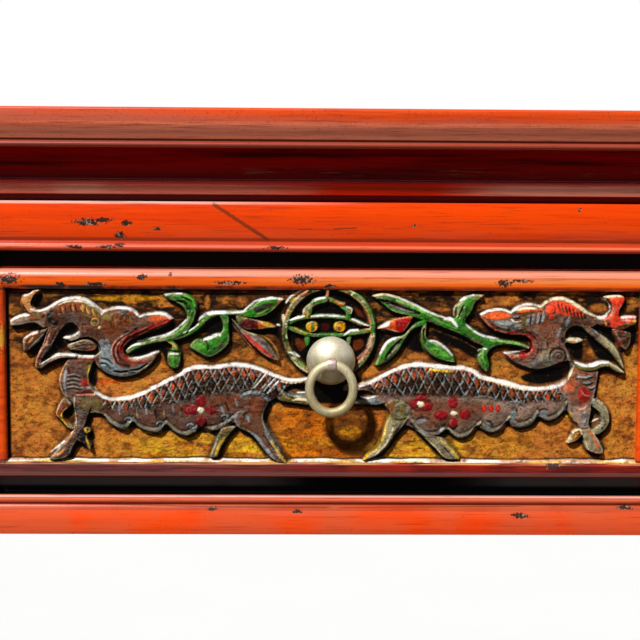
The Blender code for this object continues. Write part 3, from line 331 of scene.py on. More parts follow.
class Coat:
    """One lacquer in the making: its wires for place, streaks, clouds and specks, and its colour so far."""

    def __init__(self, name, grain, bright, deep):
        self.material, self.place = new_finish(name)
        along = self.place.stretch(ALONG[grain])
        self.streak = along.noise(1.0, 5.0, 0.62)
        self.lines = along.noise(6.0, 3.0, 0.6)
        self.cloud = self.place.noise(13.0, 4.0)
        self.fine = self.place.noise(520.0, 3.0)
        self.colour = self.streak.step(0.40, 0.66).mix(linear(*bright), linear(*deep))
        self.worn = self.fine.step(0.68, 0.74) * 0.4

    def lay(self, mask, colour):
        self.colour = mask.mix(self.colour, linear(*colour))

    def wear(self, mask):
        self.worn = self.worn.most(mask)

    def close(self, rough, under=RUBBED_BROWN, coat=0.05, gleam=0.3, sheen=None):
        colour = (self.lines.step(0.53, 0.72) * 0.42).mix(self.colour, linear(*LINE_BROWN))
        bare = (self.fine.step(0.44, 0.38) * 0.6).mix(linear(*under), linear(*BARE_CHIP))
        colour = self.worn.mix(colour, bare)
        wires = {"Base Color": colour, "Roughness": rough + self.streak * 0.16 + self.worn * 0.3}
        if sheen:
            wires["Metallic"] = sheen
        height = self.streak * 0.5 + self.lines * 0.25 + self.fine * 0.25 - self.worn * 0.8
        constants = {"Coat Weight": coat, "Specular IOR Level": gleam}
        return close_finish(self.material, wires, constants, (height, *GRAIN_BUMP))


def red_lacquer(grain):
    """The plain worn red of the legs, panels and side rails."""
    coat = Coat("red_" + grain, grain, ORANGE_RED, DEEP_RED)
    coat.lay(coat.cloud.step(0.52, 0.74) * 0.4, (176, 66, 40))
    coat.wear(coat.cloud.step(0.68, 0.74) * coat.streak.step(0.48, 0.60) * 0.7)
    return coat.close(0.26)


red_finish = {axis: red_lacquer(axis) for axis in ALONG}
print("lacquers:", len(red_finish))

# %% [markdown]
# ## The floor and the bare wood
#
# The floor is a pale even sheet with the faintest unevenness.
# Inside the table the wood was never painted: pale brown, with grain along the board.

# %% Floor and wood finishes


def floor_finish():
    """Pale to the camera, duller in reflections, darker still in the light that it throws at the table."""
    material, place = new_finish("pale_floor")
    pale = place.noise(3.0, 2.0).mix(linear(246, 246, 245), linear(250, 250, 249))
    glossy = place.node("ShaderNodeLightPath", out="Is Glossy Ray")
    colour = glossy.mix(linear(64, 62, 59), linear(170, 168, 160))
    colour = place.node("ShaderNodeLightPath", out="Is Camera Ray").mix(colour, pale)
    rough = 0.85 + place.noise(40.0) * 0.1
    return close_finish(material, {"Base Color": colour, "Roughness": rough})


def bare_wood(grain):
    material, place = new_finish("bare_wood_" + grain)
    lines = place.stretch(ALONG[grain]).noise(1.6, 6.0, 0.65)
    cloud = place.noise(9.0)
    colour = lines.step(0.35, 0.66).mix(linear(176, 132, 88), linear(120, 82, 50))
    colour = (cloud.step(0.45, 0.7) * 0.4).mix(colour, linear(92, 62, 40))
    wires = {"Base Color": colour, "Roughness": 0.62 + lines * 0.2}
    return close_finish(material, wires, None, (lines, *GRAIN_BUMP))


floor.data.materials.append(floor_finish())
wood_finish = {axis: bare_wood(axis) for axis in ALONG}
print("bare woods:", len(wood_finish))

# %% [markdown]
# ## The top's edge and the waist
#
# Below the rounded edge of the top lie a hollow, a groove and a thin bead, under dull old polish with a
# painted pinkish sheen of reflected light and a painted highlight low in the hollow. The waist under it is a
# deep red that never saw the sun. The step at its foot is red and brown with chips, with pink patches of
# painted reflection and a painted highlight along its top edge, and painted shade darkens the undercut below
# it.

# %% Finishes of the top and the waist
TOP_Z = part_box("top_frame_front")[1].z
WAIST_LOW_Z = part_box("waist_front")[0].z
STEP_HEIGHT = 0.0145
TOP_ROUND = 0.0095
TOP_HOLLOW = 0.0200
TOP_GROOVE = 0.0203
TOP_THIN_BEAD = 0.0222
TOP_FOOT = 0.0300
STEP_RED_X = 0.04


def top_finish(side, axis):
    """Orange above, then dull polish with a painted sheen whose wavy edge hangs lower to the right, a groove
    and a bead.
    """
    coat = Coat("top_red_" + side, axis, (242, 82, 18), (214, 66, 18))
    down = TOP_Z - coat.place.part("Z")
    leftward = coat.place.part("X").step(-0.02, -0.20)
    wavy = down + (coat.place.noise(7.0, 3.0) - 0.5) * 0.014 + leftward * 0.007
    # Painted sheen: the lower part is painted pinkish, as reflected light over the old polish.
    polish_and_painted_sheen = wavy.step(0.004, 0.013)
    coat.lay(polish_and_painted_sheen * 0.7, PAINTED_SHEEN_OVER_POLISH)
    hollow = down.between(TOP_ROUND, TOP_HOLLOW, 0.0012)
    coat.lay(hollow, (252, 114, 62))
    # The painted sheen reaches into the hollow too.
    coat.lay(hollow * polish_and_painted_sheen * 0.6, (240, 140, 112))
    coat.lay(hollow * coat.streak.step(0.44, 0.60) * 0.5, (206, 82, 44))
    coat.lay(hollow * coat.lines.step(0.46, 0.62) * 0.5, (172, 72, 46))
    coat.lay(coat.fine.step(0.56, 0.66) * 0.25, (120, 44, 28))
    # Painted highlight: the lower hollow faces down and is painted brighter, with a metallic sheen as painted
    # reflection.
    shine = down.between(TOP_ROUND + 0.004, TOP_HOLLOW, 0.002)
    coat.lay(shine * 0.6, (255, 150, 118))
    coat.lay(down.between(TOP_GROOVE, TOP_THIN_BEAD, 0.0003) * 0.75, (60, 16, 8))
    coat.lay(down.between(TOP_THIN_BEAD, TOP_FOOT, 0.0006) * 0.75, (140, 46, 26))
    return coat.close(0.28, sheen=shine * 0.35)


def waist_finish(side, axis):
    """Deep streaked red with dusty lines low down, above a step with a red line, chips and painted
    reflection.
    """
    coat = Coat("waist_red_" + side, axis, (246, 14, 8), (150, 6, 4))
    up = coat.place.part("Z") - WAIST_LOW_Z
    step = up.step(STEP_HEIGHT + 0.0004, STEP_HEIGHT - 0.0006)
    patch = coat.place.noise(6.0, 3.0) + (coat.cloud - 0.5) * 0.5
    offset = coat.place.part("X") - STEP_RED_X
    outer = offset.maths("ABSOLUTE", offset).step(0.03, 0.09)
    coat.lay(coat.streak.step(0.56, 0.66) * 0.6, (76, 2, 2))
    coat.lay(up.step(STEP_HEIGHT + 0.012, STEP_HEIGHT) * 0.6, (52, 2, 2))
    dust = coat.lines.step(0.54, 0.60) * up.between(STEP_HEIGHT + 0.003, STEP_HEIGHT + 0.008, 0.002)
    coat.lay(dust * coat.cloud.step(0.44, 0.52) * 0.6, (226, 130, 112))
    coat.lay(coat.cloud.step(0.56, 0.66) * coat.lines.step(0.54, 0.62) * 0.4, (196, 76, 58))
    coat.lay(step, (232, 46, 12))
    # Painted reflection: pale pink patches on the step, away from its red middle.
    coat.lay(step * outer * (0.5 + patch.step(0.42, 0.50) * 0.4), (250, 162, 138))
    coat.lay(step * coat.streak.step(0.50, 0.64) * 0.5, (150, 46, 28))
    coat.lay(up.between(STEP_HEIGHT - 0.0034, STEP_HEIGHT - 0.0012, 0.0005) * 0.75, (190, 18, 14))
    coat.lay(step * coat.place.noise(170.0, 4.0, 0.7).step(0.66, 0.70) * 0.8, (60, 20, 14))
    # Painted highlight along the step's top edge.
    coat.lay(up.between(STEP_HEIGHT - 0.0014, STEP_HEIGHT + 0.0002, 0.0003) * 0.8, (214, 140, 150))
    # Painted shade darkens the undercut below the step, and the step's face gets a metallic sheen as painted
    # reflection.
    face = up.step(0.0040, 0.0052)
    coat.lay(1 - face, (100, 6, 12))
    return coat.close(0.28, (150, 90, 60), 0.0, 0.15, step * face * 0.85)


print("step of the waist", round(1000 * STEP_HEIGHT, 1), "mm tall")

# %% [markdown]
# ## Tools for shaping
#
# An operator acts on all that is selected, so one helper picks a single piece first. Modifiers round edges
# and cut one shape out of another, and they are applied at once. A finished piece gets its one finish, its
# body in the mechanism and the solids that it stands for.

# %% Pick, round, cut and hand over
SHARP = math.radians(38)


def pick_only(piece):
    if bpy.context.mode != "OBJECT":
        bpy.ops.object.mode_set(mode="OBJECT")
    bpy.ops.object.select_all(action="DESELECT")
    piece.select_set(True)
    bpy.context.view_layer.objects.active = piece


def apply_all(piece):
    pick_only(piece)
    for modifier in list(piece.modifiers):
        bpy.ops.object.modifier_apply(modifier=modifier.name)


def bevel(piece, width, segments=2):
    rounding = piece.modifiers.new("round", "BEVEL")
    rounding.width = width
    rounding.segments = segments
    rounding.limit_method = "ANGLE"
    rounding.angle_limit = SHARP
    apply_all(piece)


def cut_away(piece, tool):
    """Cut one object out of another and throw the tool away."""
    cut = piece.modifiers.new("cut", "BOOLEAN")
    cut.operation = "DIFFERENCE"
    cut.object = tool
    apply_all(piece)
    bpy.data.objects.remove(tool)


def finish_piece(piece, body, finish, slot, *nodes):
    """Give a piece its one finish, its place in the mechanism and the solids it stands for."""
    piece.data.materials.clear()
    piece.data.materials.append(finish)
    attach(piece, body)
    if nodes:
        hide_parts(*nodes)
    return piece


print("edges sharper than", round(math.degrees(SHARP)), "degrees are rounded")

# %% [markdown]
# ## Softened timber
#
# Real timber has no sharp arris: a hand plane and years of dusting have rounded it.
# A copy of each solid is merged, its flat faces are joined again, and its edges are bevelled by less than
# a millimetre, so the lamp draws a bright line along every edge.

# %% Soften the frame's timber
MERGE = 0.00001
FLAT = math.radians(0.4)


def merged_copy(node):
    """A copy of a solid with its loose triangles joined and its flat faces made one again."""
    piece = bpy.data.objects.new(node + "_soft", frame["nodes"][node].data.copy())
    bpy.context.scene.collection.objects.link(piece)
    pick_only(piece)
    bpy.ops.object.mode_set(mode="EDIT")
    bpy.ops.mesh.select_all(action="SELECT")
    bpy.ops.mesh.remove_doubles(threshold=MERGE)
    bpy.ops.mesh.dissolve_limited(angle_limit=FLAT)
    bpy.ops.mesh.normals_make_consistent(inside=False)
    bpy.ops.object.mode_set(mode="OBJECT")
    if piece.data.has_custom_normals:
        bpy.ops.mesh.customdata_custom_splitnormals_clear()
    return piece


def softened(node, width, finish):
    slot = frame["nodes"][node].data.materials[0].name
    piece = merged_copy(node)
    bevel(piece, width)
    pick_only(piece)
    bpy.ops.object.shade_smooth_by_angle(angle=SHARP)
    return finish_piece(piece, BODY_OF[node], finish, slot, node)


TIMBER_EDGE = 0.0006
SIDE_GRAIN = {"front": "x", "back": "x", "left": "y", "right": "y"}
for side, axis in SIDE_GRAIN.items():
    softened("top_frame_" + side, TIMBER_EDGE, top_finish(side, axis))
    softened("waist_" + side, TIMBER_EDGE, waist_finish(side, axis))
    if side != "front":
        softened(side + "_top_rail", TIMBER_EDGE, red_finish[axis])
        softened(side + "_bottom_rail", TIMBER_EDGE, red_finish[axis])
        softened(side + "_panel", TIMBER_EDGE, red_finish[axis])
softened("top_panel", TIMBER_EDGE, red_finish["x"])
for hand in ("left", "right"):
    softened("front_post_" + hand, TIMBER_EDGE, red_finish["z"])
    softened("front_spandrel_" + hand, TIMBER_EDGE, red_finish["x"])
    for depth in ("front", "back"):
        softened(depth + "_" + hand + "_leg", TIMBER_EDGE, red_finish["z"])
print("softened timber done")

# %% [markdown]
# ## The front rails
#
# Each front rail is one piece of timber: a flat face, a cove, a bead along the edge, and a strip set back
# beside the drawer. The strip is black and the cove is painted brown as shade, so the finish asks how high
# and how deep a spot lies. Old scratches and chips cross the flat face.

# %% Black strip, chips and scratches
STRIP_HEIGHT = 0.0117


def strip_finish():
    material, place = new_finish("black_strip")
    streak = place.stretch(ALONG["x"]).noise(1.0, 4.0)
    colour = streak.step(0.45, 0.70).mix(linear(1, 1, 1), linear(8, 6, 6))
    middle = place.part("X") - STEP_RED_X
    outer = middle.maths("ABSOLUTE", middle).step(0.04, 0.10)
    low_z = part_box("front_bottom_rail")[1].z - STRIP_HEIGHT
    beside = place.part("Z").between(low_z + 0.0045, FRONT_LOW.z, 0.0015)
    # Painted reflection: pale grey patches on the upper part of the strip under the drawer, away from the
    # middle, under a clear coat.
    polish_and_painted_sheen = outer * beside * place.noise(9.0, 3.0).step(0.36, 0.52)
    colour = (polish_and_painted_sheen * 0.85).mix(colour, linear(120, 110, 108))
    wires = {"Base Color": colour, "Roughness": 0.4 + streak * 0.3, "Coat Weight": polish_and_painted_sheen}
    constants = {"Specular IOR Level": 0.06, "Coat Roughness": 0.25}
    return close_finish(material, wires, constants, (streak, *GRAIN_BUMP))


def spot(place, mark, y):
    """A ragged chip, given by its middle and half its size in the photograph."""
    column, row, half_wide, half_tall = mark
    x, z = seen(column, row, y)
    aside = (place.part("X") - x) * (1.0 / (half_wide * METRES_PER_PIXEL))
    above = (place.part("Z") - z) * (1.0 / (half_tall * METRES_PER_PIXEL))
    square = aside * aside + above * above
    reach = square.maths("SQRT", square)
    ragged = reach + (place.noise(600.0, 4.0, 0.7) - 0.5) * 3.6
    return ragged.step(1.0, 0.8)


def scratch(place, mark, y):
    """A soft-edged stroke between two spots of the photograph, with its half width."""
    start = seen(*mark[0], y)
    stop = seen(*mark[1], y)
    width = mark[2] * METRES_PER_PIXEL
    length = math.dist(start, stop)
    along_x = (stop[0] - start[0]) / length
    along_z = (stop[1] - start[1]) / length
    x = place.part("X") - start[0]
    z = place.part("Z") - start[1]
    along = x * along_x + z * along_z
    offset = x * along_z - z * along_x
    aside = offset.maths("ABSOLUTE", offset) + (place.noise(700.0, 3.0) - 0.5) * width
    return aside.step(width, width * 0.5) * along.between(0.0, length, length * 0.04)


print("strip beside the drawer", round(1000 * STRIP_HEIGHT, 1), "mm tall")

# %% [markdown]
# ## The rails' own finish
#
# The finish is laid on in bands, counted from the edge at the drawer: the bead with a painted highlight on
# its crest and painted shade at its foot, the cove painted brown as shade, and the flat face with a painted
# sheen above the cove. The far edge gets a painted highlight too. The two rails mirror each other, so one
# function serves both. Faces that lie back from the front get the black strip as their material.

# %% Finish and build the front rails
BEAD_HEIGHT = 0.0060
COVE_HEIGHT = 0.0035
RAIL_FACE_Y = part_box("front_top_rail")[0].y
STRIP_DEPTH = 0.004


def front_rail_finish(name, node, bead_at_bottom, chips, scratches):
    low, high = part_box(node)
    coat = Coat(name, "x", (255, 74, 2), (238, 64, 6))
    z = coat.place.part("Z")
    up = z - low.z if bead_at_bottom else high.z - z
    bead_top = STRIP_HEIGHT + BEAD_HEIGHT
    cove_height = COVE_HEIGHT if bead_at_bottom else COVE_HEIGHT + 0.0012
    # Painted sheen: pinkish patches just above the cove, stronger on the low rail.
    polish_and_painted_sheen = coat.place.noise(8.0, 3.0).step(0.44, 0.60) * up.between(bead_top, bead_top + 0.009, 0.003)
    coat.lay(polish_and_painted_sheen * (0.12 if bead_at_bottom else 0.4), (208, 106, 76))
    # Painted shade: the cove is painted brown, and so is a band at the bead's foot beside the strip.
    coat.lay(up.between(bead_top - 0.0016, bead_top + cove_height, 0.0006) * 0.7, (160, 54, 24))
    coat.lay(up.between(STRIP_HEIGHT - 0.001, STRIP_HEIGHT + 0.0018, 0.0005) * 0.7, (104, 46, 28))
    # Painted highlight along the bead's crest.
    crest = up.between(STRIP_HEIGHT + 0.0022, STRIP_HEIGHT + 0.0042, 0.0006)
    coat.lay(crest * 0.3, (250, 176, 146))
    if bead_at_bottom:
        # Painted highlight along the top rail's upper edge, on its left.
        leftward = coat.place.part("X").step(0.05, -0.12)
        coat.lay(z.step(high.z - 0.0022, high.z - 0.0010) * leftward * 0.7, (255, 216, 196))
    else:
        coat.lay(coat.cloud.step(0.36, 0.58) * 0.5, (206, 100, 64))
        # Painted highlight along the low rail's arris.
        coat.lay(up.between(STRIP_HEIGHT + 0.0004, STRIP_HEIGHT + 0.0014, 0.0004) * 0.5, (250, 222, 206))
    for mark in chips:
        coat.wear(spot(coat.place, mark, RAIL_FACE_Y))
    for mark in scratches:
        coat.lay(scratch(coat.place, mark, RAIL_FACE_Y) * 0.85, (126, 50, 18))
    return coat.close(0.24, (56, 28, 18), 0.03, 0.2)


def blacken_strip(node, finish, strip, low_z):
    """Soften a rail and blacken what lies back from its face, at the strip beside the drawer."""
    piece = softened(node, TIMBER_EDGE, finish)
    piece.data.materials.append(strip)
    for face in piece.data.polygons:
        if face.center.y > RAIL_FACE_Y + STRIP_DEPTH and 0.0 < face.center.z - low_z < STRIP_HEIGHT:
            face.material_index = 1


TOP_RAIL_CHIPS = (
    (88, 222, 13, 4), (103, 220, 9, 3), (126, 223, 5, 3), (120, 235, 5, 4), (157, 229, 4, 2), (75, 247, 8, 2),
    (106, 247, 9, 2), (120, 245, 5, 2), (276, 248, 10, 2), (580, 210, 2, 2), (415, 226, 2, 2),
)
TOP_RAIL_SCRATCHES = (
    ((213, 204), (268, 240), 2.4), ((298, 229.5), (312, 229), 0.6), ((334, 229), (357, 228), 0.8),
)
LOW_RAIL_CHIPS = ((625, 508, 9, 2), (212, 509, 5, 2), (297, 512, 6, 2), (520, 516, 9, 3))
LOW_RAIL_SCRATCHES = (
    ((30, 503), (200, 507), 0.8), ((200, 507), (330, 508), 0.9), ((340, 508), (520, 507), 0.6),
)
EDGE_SLACK = 0.0002
TOP_STRIP_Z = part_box("front_top_rail")[0].z + EDGE_SLACK
LOW_STRIP_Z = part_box("front_bottom_rail")[1].z - STRIP_HEIGHT - EDGE_SLACK
strip = strip_finish()
top_rail_finish = front_rail_finish(
    "top_rail_red", "front_top_rail", True, TOP_RAIL_CHIPS, TOP_RAIL_SCRATCHES)
low_rail_finish = front_rail_finish(
    "low_rail_red", "front_bottom_rail", False, LOW_RAIL_CHIPS, LOW_RAIL_SCRATCHES)
blacken_strip("front_top_rail", top_rail_finish, strip, TOP_STRIP_Z)
blacken_strip("front_bottom_rail", low_rail_finish, strip, LOW_STRIP_Z)
print("front rails done")

# %% [markdown]
# ## A sheet for the carver
#
# The carving is drawn on a sheet in the photograph's own rows and columns, and laid over the sunk field
# where the camera sees it. The sheet is a fine grid of points. Each point has a height over the ground and
# a paint colour, and the carving is worked on that grid the way a carver works a board: motifs first, then
# their edges, then lines. A place on the sheet is written as column,row, so that an outline is a short row
# of words.

# %% Lay out the grid
CARVED_CREST = 0.0045
CARVED_Y = GROUND_Y - CARVED_CREST
SHEET_LEFT_TOP = pictured(FIELD_LEFT, CARVED_Y, FIELD_TOP)
SHEET_RIGHT_TOP = pictured(FIELD_RIGHT, CARVED_Y, FIELD_TOP)
SHEET_LEFT_BOTTOM = pictured(FIELD_LEFT, CARVED_Y, FIELD_BOTTOM)
SHEET_RIGHT_BOTTOM = pictured(FIELD_RIGHT, CARVED_Y, FIELD_BOTTOM)
CELL = 0.0005
PARTS = 3
COLUMNS = PARTS * round((FIELD_RIGHT - FIELD_LEFT) / CELL / PARTS) + 1
ROWS = round((FIELD_TOP - FIELD_BOTTOM) / CELL) + 1
across = np.linspace(0.0, 1.0, COLUMNS)[None, :]
down = np.linspace(1.0, 0.0, ROWS)[:, None]


def blend(first, second, share):
    return first + (second - first) * share


left_edge = blend(SHEET_LEFT_TOP[0], SHEET_LEFT_BOTTOM[0], down)
right_edge = blend(SHEET_RIGHT_TOP[0], SHEET_RIGHT_BOTTOM[0], down)
top_edge = blend(SHEET_LEFT_TOP[1], SHEET_RIGHT_TOP[1], across)
bottom_edge = blend(SHEET_LEFT_BOTTOM[1], SHEET_RIGHT_BOTTOM[1], across)
sheet_x = blend(left_edge, right_edge, across)
sheet_y = blend(top_edge, bottom_edge, down)
height = np.zeros((ROWS, COLUMNS))
paint = np.zeros((ROWS, COLUMNS, 3))
print("carving grid", COLUMNS, "by", ROWS, "from", SHEET_LEFT_TOP, "to", SHEET_RIGHT_BOTTOM)

# %% [markdown]
# ## Paints and lines
#
# The paints are mixed once and called by name. A line is drawn as a hand draws it: it flows through the few
# places that are given, without corners.

# %% Paints and flowing lines
COLOURS = {
    "ochre": (200, 116, 46), "gold": (220, 148, 4), "yellow": (236, 188, 34), "rust": (122, 54, 16),
    "umber": (70, 38, 18), "soot": (20, 10, 6), "black": (2, 1, 1), "night": (24, 20, 22),
    "brown": (104, 66, 48), "dusty": (150, 120, 102), "purple": (112, 88, 80), "slate": (136, 144, 144),
    "grey": (146, 144, 134), "blue_grey": (142, 160, 164), "white": (253, 249, 240), "cream": (238, 220, 176),
    "tan": (206, 132, 66), "pink": (224, 152, 130), "maroon": (86, 14, 12), "red": (172, 18, 20),
    "crimson": (136, 14, 24), "scarlet": (236, 62, 30), "orange": (220, 84, 22), "leaf": (40, 120, 26),
    "light_green": (98, 172, 60), "dark_green": (16, 56, 14), "olive": (114, 102, 44), "honey": (218, 112, 6),
    "amber": (212, 144, 52), "bone": (152, 140, 104),
}
COLOURS = {name: np.array(linear(*value)[:3]) for name, value in COLOURS.items()}


def smooth(low, high, value):
    share = np.clip((value - low) / (high - low), 0.0, 1.0)
    return share * share * (3.0 - 2.0 * share)


def spots(words):
    """Places on the sheet, each written as column,row."""
    return [tuple(float(part) for part in word.split(",")) for word in words.split()]


def curve(points, closed, steps=5):
    """A flowing line through every point, or round them all. Points are pairs, or words for spots()."""
    points = np.array(spots(points) if isinstance(points, str) else points, float)
    count = len(points)
    if closed:
        padded = np.vstack([points[-1], points, points[:2]])
        spans = count
    else:
        padded = np.vstack([2 * points[0] - points[1], points, 2 * points[-1] - points[-2]])
        spans = count - 1
    line = []
    for i in range(spans):
        before, start, stop, after = padded[i:i + 4]
        for step in range(steps):
            t = step / steps
            flow = (stop - before) * t + (2 * before - 5 * start + 4 * stop - after) * t ** 2
            line.append(start + 0.5 * (flow + (3 * start - before - 3 * stop + after) * t ** 3))
    line.append(points[0] if closed else points[-1])
    return np.array(line)


print("paints:", len(COLOURS))

# %% [markdown]
# ## Finding places on the grid
#
# A brush has to know which points of the grid a shape covers and how far they lie from its edge. Only the
# points in a window round the shape are measured, so hundreds of strokes stay quick.

# %% Windows, distances and insides


def window(line, margin):
    """The part of the grid within a margin of a line's box."""
    low = line.min(0) - margin
    high = line.max(0) + margin
    columns = np.flatnonzero((sheet_x.max(0) > low[0]) & (sheet_x.min(0) < high[0]))
    rows = np.flatnonzero((sheet_y.max(1) > low[1]) & (sheet_y.min(1) < high[1]))
    if len(columns) == 0 or len(rows) == 0:
        return np.s_[0:0, 0:0]
    return np.s_[rows[0]:rows[-1] + 1, columns[0]:columns[-1] + 1]


def near(line, area):
    """How far each grid point lies from a line, and how far along the line its nearest spot is."""
    x = sheet_x[area]
    y = sheet_y[area]
    nearest = np.full(x.shape, 1e9)
    along = np.zeros(x.shape)
    lengths = np.hypot(*np.diff(line, axis=0).T) + 1e-9
    passed = 0.0
    for start, stop, length in zip(line[:-1], line[1:], lengths):
        way = (stop - start) / length
        t = np.clip((x - start[0]) * way[0] + (y - start[1]) * way[1], 0.0, length)
        distance = np.hypot(x - start[0] - t * way[0], y - start[1] - t * way[1])
        closer = distance < nearest
        nearest = np.where(closer, distance, nearest)
        along = np.where(closer, (passed + t) / lengths.sum(), along)
        passed += length
    return nearest, along


def inside(line, area):
    x = sheet_x[area]
    y = sheet_y[area]
    within = np.zeros(x.shape, bool)
    for start, stop in zip(line[:-1], line[1:]):
        if start[1] == stop[1]:
            continue
        crosses = (start[1] > y) != (stop[1] > y)
        at = start[0] + (y - start[1]) * (stop[0] - start[0]) / (stop[1] - start[1])
        within ^= crosses & (x < at)
    return within


print("points on the grid:", sheet_x.size)

# %% [markdown]
# ## Paint that wears in patches
#
# Old paint is never even. Random numbers on a coarse table are blended into soft patches, and small patches
# are laid over large ones. Each call has its own seed, so every run gives the same patches.

# %% Lay paint and make patches


def lay(area, mask, colour):
    paint[area] += (COLOURS[colour] - paint[area]) * mask[..., None]


def mottle(wide, tall, seed):
    """Soft random patches of about the given size in sheet units, from nought to one."""
    size = 256
    table = np.random.default_rng(seed).random((size, size))
    turn = float(seed) if wide == tall else 0.0
    u = (sheet_x * math.cos(turn) - sheet_y * math.sin(turn)) / wide
    v = (sheet_x * math.sin(turn) + sheet_y * math.cos(turn)) / tall
    i = np.floor(u).astype(int)
    j = np.floor(v).astype(int)
    s = smooth(0, 1, u - i)
    t = smooth(0, 1, v - j)
    upper = blend(table[j % size, i % size], table[j % size, (i + 1) % size], s)
    lower = blend(table[(j + 1) % size, i % size], table[(j + 1) % size, (i + 1) % size], s)
    return blend(upper, lower, t)


def patches(wide, seed, tall=None):
    """Patches within patches, as tall as wide unless told otherwise."""
    tall = tall or wide
    total = mottle(wide, tall, seed) * 0.5 + mottle(wide / 2, tall / 2, seed + 1) * 0.3
    return total + mottle(wide / 4, tall / 4, seed + 2) * 0.2


brush_wear = patches(6, 5, 3)
print("brush wear about", round(float(brush_wear.mean()), 2))

# %% [markdown]
# ## The carver's brushes
#
# A motif stands on the ground with a steep wall and a swelling crown. A stroke is a ragged line, raised or
# cut in, and a patch is soft-edged paint. Ovals and spirals are points for these to follow.

# %% Motifs, strokes and patches


def motif(points, rise, colour, wall=1.7, pillow=7.0, flat=0.84):
    """Stand one shape on the ground, with a steep wall and a swelling crown, and paint it."""
    line = curve(points, True)
    area = window(line, 3)
    within = inside(line, area)
    depth = np.where(within, near(line, area)[0], 0.0)
    crown = flat + (1.0 - flat) * smooth(0.0, pillow, depth)
    raised = rise * smooth(0.0, wall, depth) * crown
    height[area] = np.maximum(height[area], raised)
    lay(area, smooth(0.0, 0.9, depth), colour)


WHITE_SHARE = 0.78


def stroke(points, width, colour, rise=0.0, taper=0.45, strength=1.0):
    """A ragged line with narrowing ends, raised or (by a negative rise) cut in; white fades at its edges."""
    line = curve(points, False)
    area = window(line, width + 2)
    distance, along = near(line, area)
    half = 0.5 * width * (taper + (1.0 - taper) * np.sqrt(np.sin(np.pi * np.clip(along, 0.02, 0.98))))
    half = half * (0.60 + 0.75 * brush_wear[area])
    core = half - 0.5
    if colour == "white":
        half = half * WHITE_SHARE
        core = half * 0.3
    rubbed = 1.0 if colour == "black" else 0.55 + 0.45 * smooth(0.30, 0.52, brush_wear[area])
    lay(area, strength * rubbed * (1.0 - smooth(core, half + 0.6, distance)), colour)
    height[area] += rise * np.sqrt(np.clip(1.0 - (distance / (half + 0.4)) ** 2, 0.0, 1.0))


def patch(points, colour, strength=1.0, soft=2.0):
    """A soft-edged area of paint."""
    line = curve(points, True)
    area = window(line, 3)
    depth = np.where(inside(line, area), near(line, area)[0], 0.0)
    lay(area, strength * smooth(0.0, soft, depth), colour)


def oval(centre, half_x, half_y, tilt=0.0, count=12):
    turns = [2 * math.pi * i / count for i in range(count)]
    lean = math.radians(tilt)
    points = []
    for turn in turns:
        x = half_x * math.cos(turn)
        y = half_y * math.sin(turn)
        points.append((centre[0] + x * math.cos(lean) - y * math.sin(lean),
                       centre[1] + x * math.sin(lean) + y * math.cos(lean)))
    return points


def spiral(centre, radius, turns, start):
    points = []
    count = int(10 * turns) + 2
    for i in range(count):
        share = i / (count - 1)
        turn = math.radians(start) + 2 * math.pi * turns * share
        reach = radius * (1.0 - 0.85 * share)
        points.append((centre[0] + reach * math.cos(turn), centre[1] + reach * math.sin(turn)))
    return points


print("white covers", WHITE_SHARE, "of a stroke's width")

# %% [markdown]
# ## The ground
#
# The sunk ground was gilded and has gone dull: ochre and gold, with rust where the gilding has worn. The
# upper part is darkened partly with smoke and partly as painted shade under the bead. Pools of painted shadow
# lie between the motifs, a painted shadow lies under the pull, lit patches are painted on as light, and a
# painted shadow runs along the top and left edges. A ledge runs along its foot, painted white as worn pale
# paint with a painted highlight.

# %% Paint the ground
LEDGE_TALL = 2.7
LEDGE_RISE = 0.0036
LIT_PATCHES = (
    ((125, 299), 40, 4, "gold"), ((240, 302), 8, 7, "ochre"), ((206, 303), 4, 8, "ochre"),
    ((440, 310), 12, 3, "ochre"), ((512, 304), 28, 5, "ochre"), ((599, 308), 10, 5, "ochre"),
    ((414, 357), 9, 5, "ochre"), ((463, 358), 9, 6, "rust"), ((503, 370), 10, 8, "ochre"),
    ((595, 352), 9, 7, "ochre"), ((247, 355), 9, 8, "ochre"), ((189, 360), 5, 6, "ochre"),
    ((107, 383), 14, 6, "orange"), ((62, 347), 6, 5, "rust"), ((290, 370), 12, 6, "rust"),
    ((632, 362), 9, 22, "amber"), ((626, 390), 12, 12, "amber"), ((349, 432), 13, 7, "gold"),
    ((318, 386), 3, 3, "gold"), ((318, 393), 4, 4, "gold"),
)
PAINTED_SHADOW_POOLS = (
    "128,352 142,347 160,344 168,352 166,368 158,353 140,357",
    "131,341 150,331 170,322 176,322 172,331 150,337 136,342",
    "196,330 208,320 222,318 222,332 208,336",
    "262,318 272,310 282,303 284,330 284,345 276,340 262,331",
    "92,364 97,368 97,384 92,388 88,380",
    "286,384 316,384 316,394 296,392",
    "310,380 352,372 362,384 360,402 312,404",
    "374,330 386,334 376,352 370,368 364,362",
    "402,340 416,328 421,340 424,354 406,350",
    "430,328 470,344 480,352 474,360 456,350 438,342",
    "520,376 536,370 568,364 572,372 560,382 540,386 524,383",
    "568,340 572,328 584,330 600,346 618,362 598,360 586,340 584,360 572,358",
    "600,336 604,330 611,329 617,334 619,343 611,346 603,343",
    "622,330 638,328 638,344 630,346",
    "62,337 66,328 72,325 78,330 74,334 66,337",
    "34,308 33,300 37,294 42,295 40,308",
    "46,354 54,342 62,340 67,344 64,350 56,352",
    "11,327 22,327 33,326 44,330 34,332 24,331 12,331",
)
PAINTED_PULL_SHADOW = ((354, 434), 27, 26)
ground_patch = patches(26, 11)
whole = np.s_[:, :]
paint[:] = COLOURS["ochre"]
low_gold = smooth(425, 450, sheet_y) * smooth(80, 180, sheet_x) * smooth(560, 420, sheet_x)
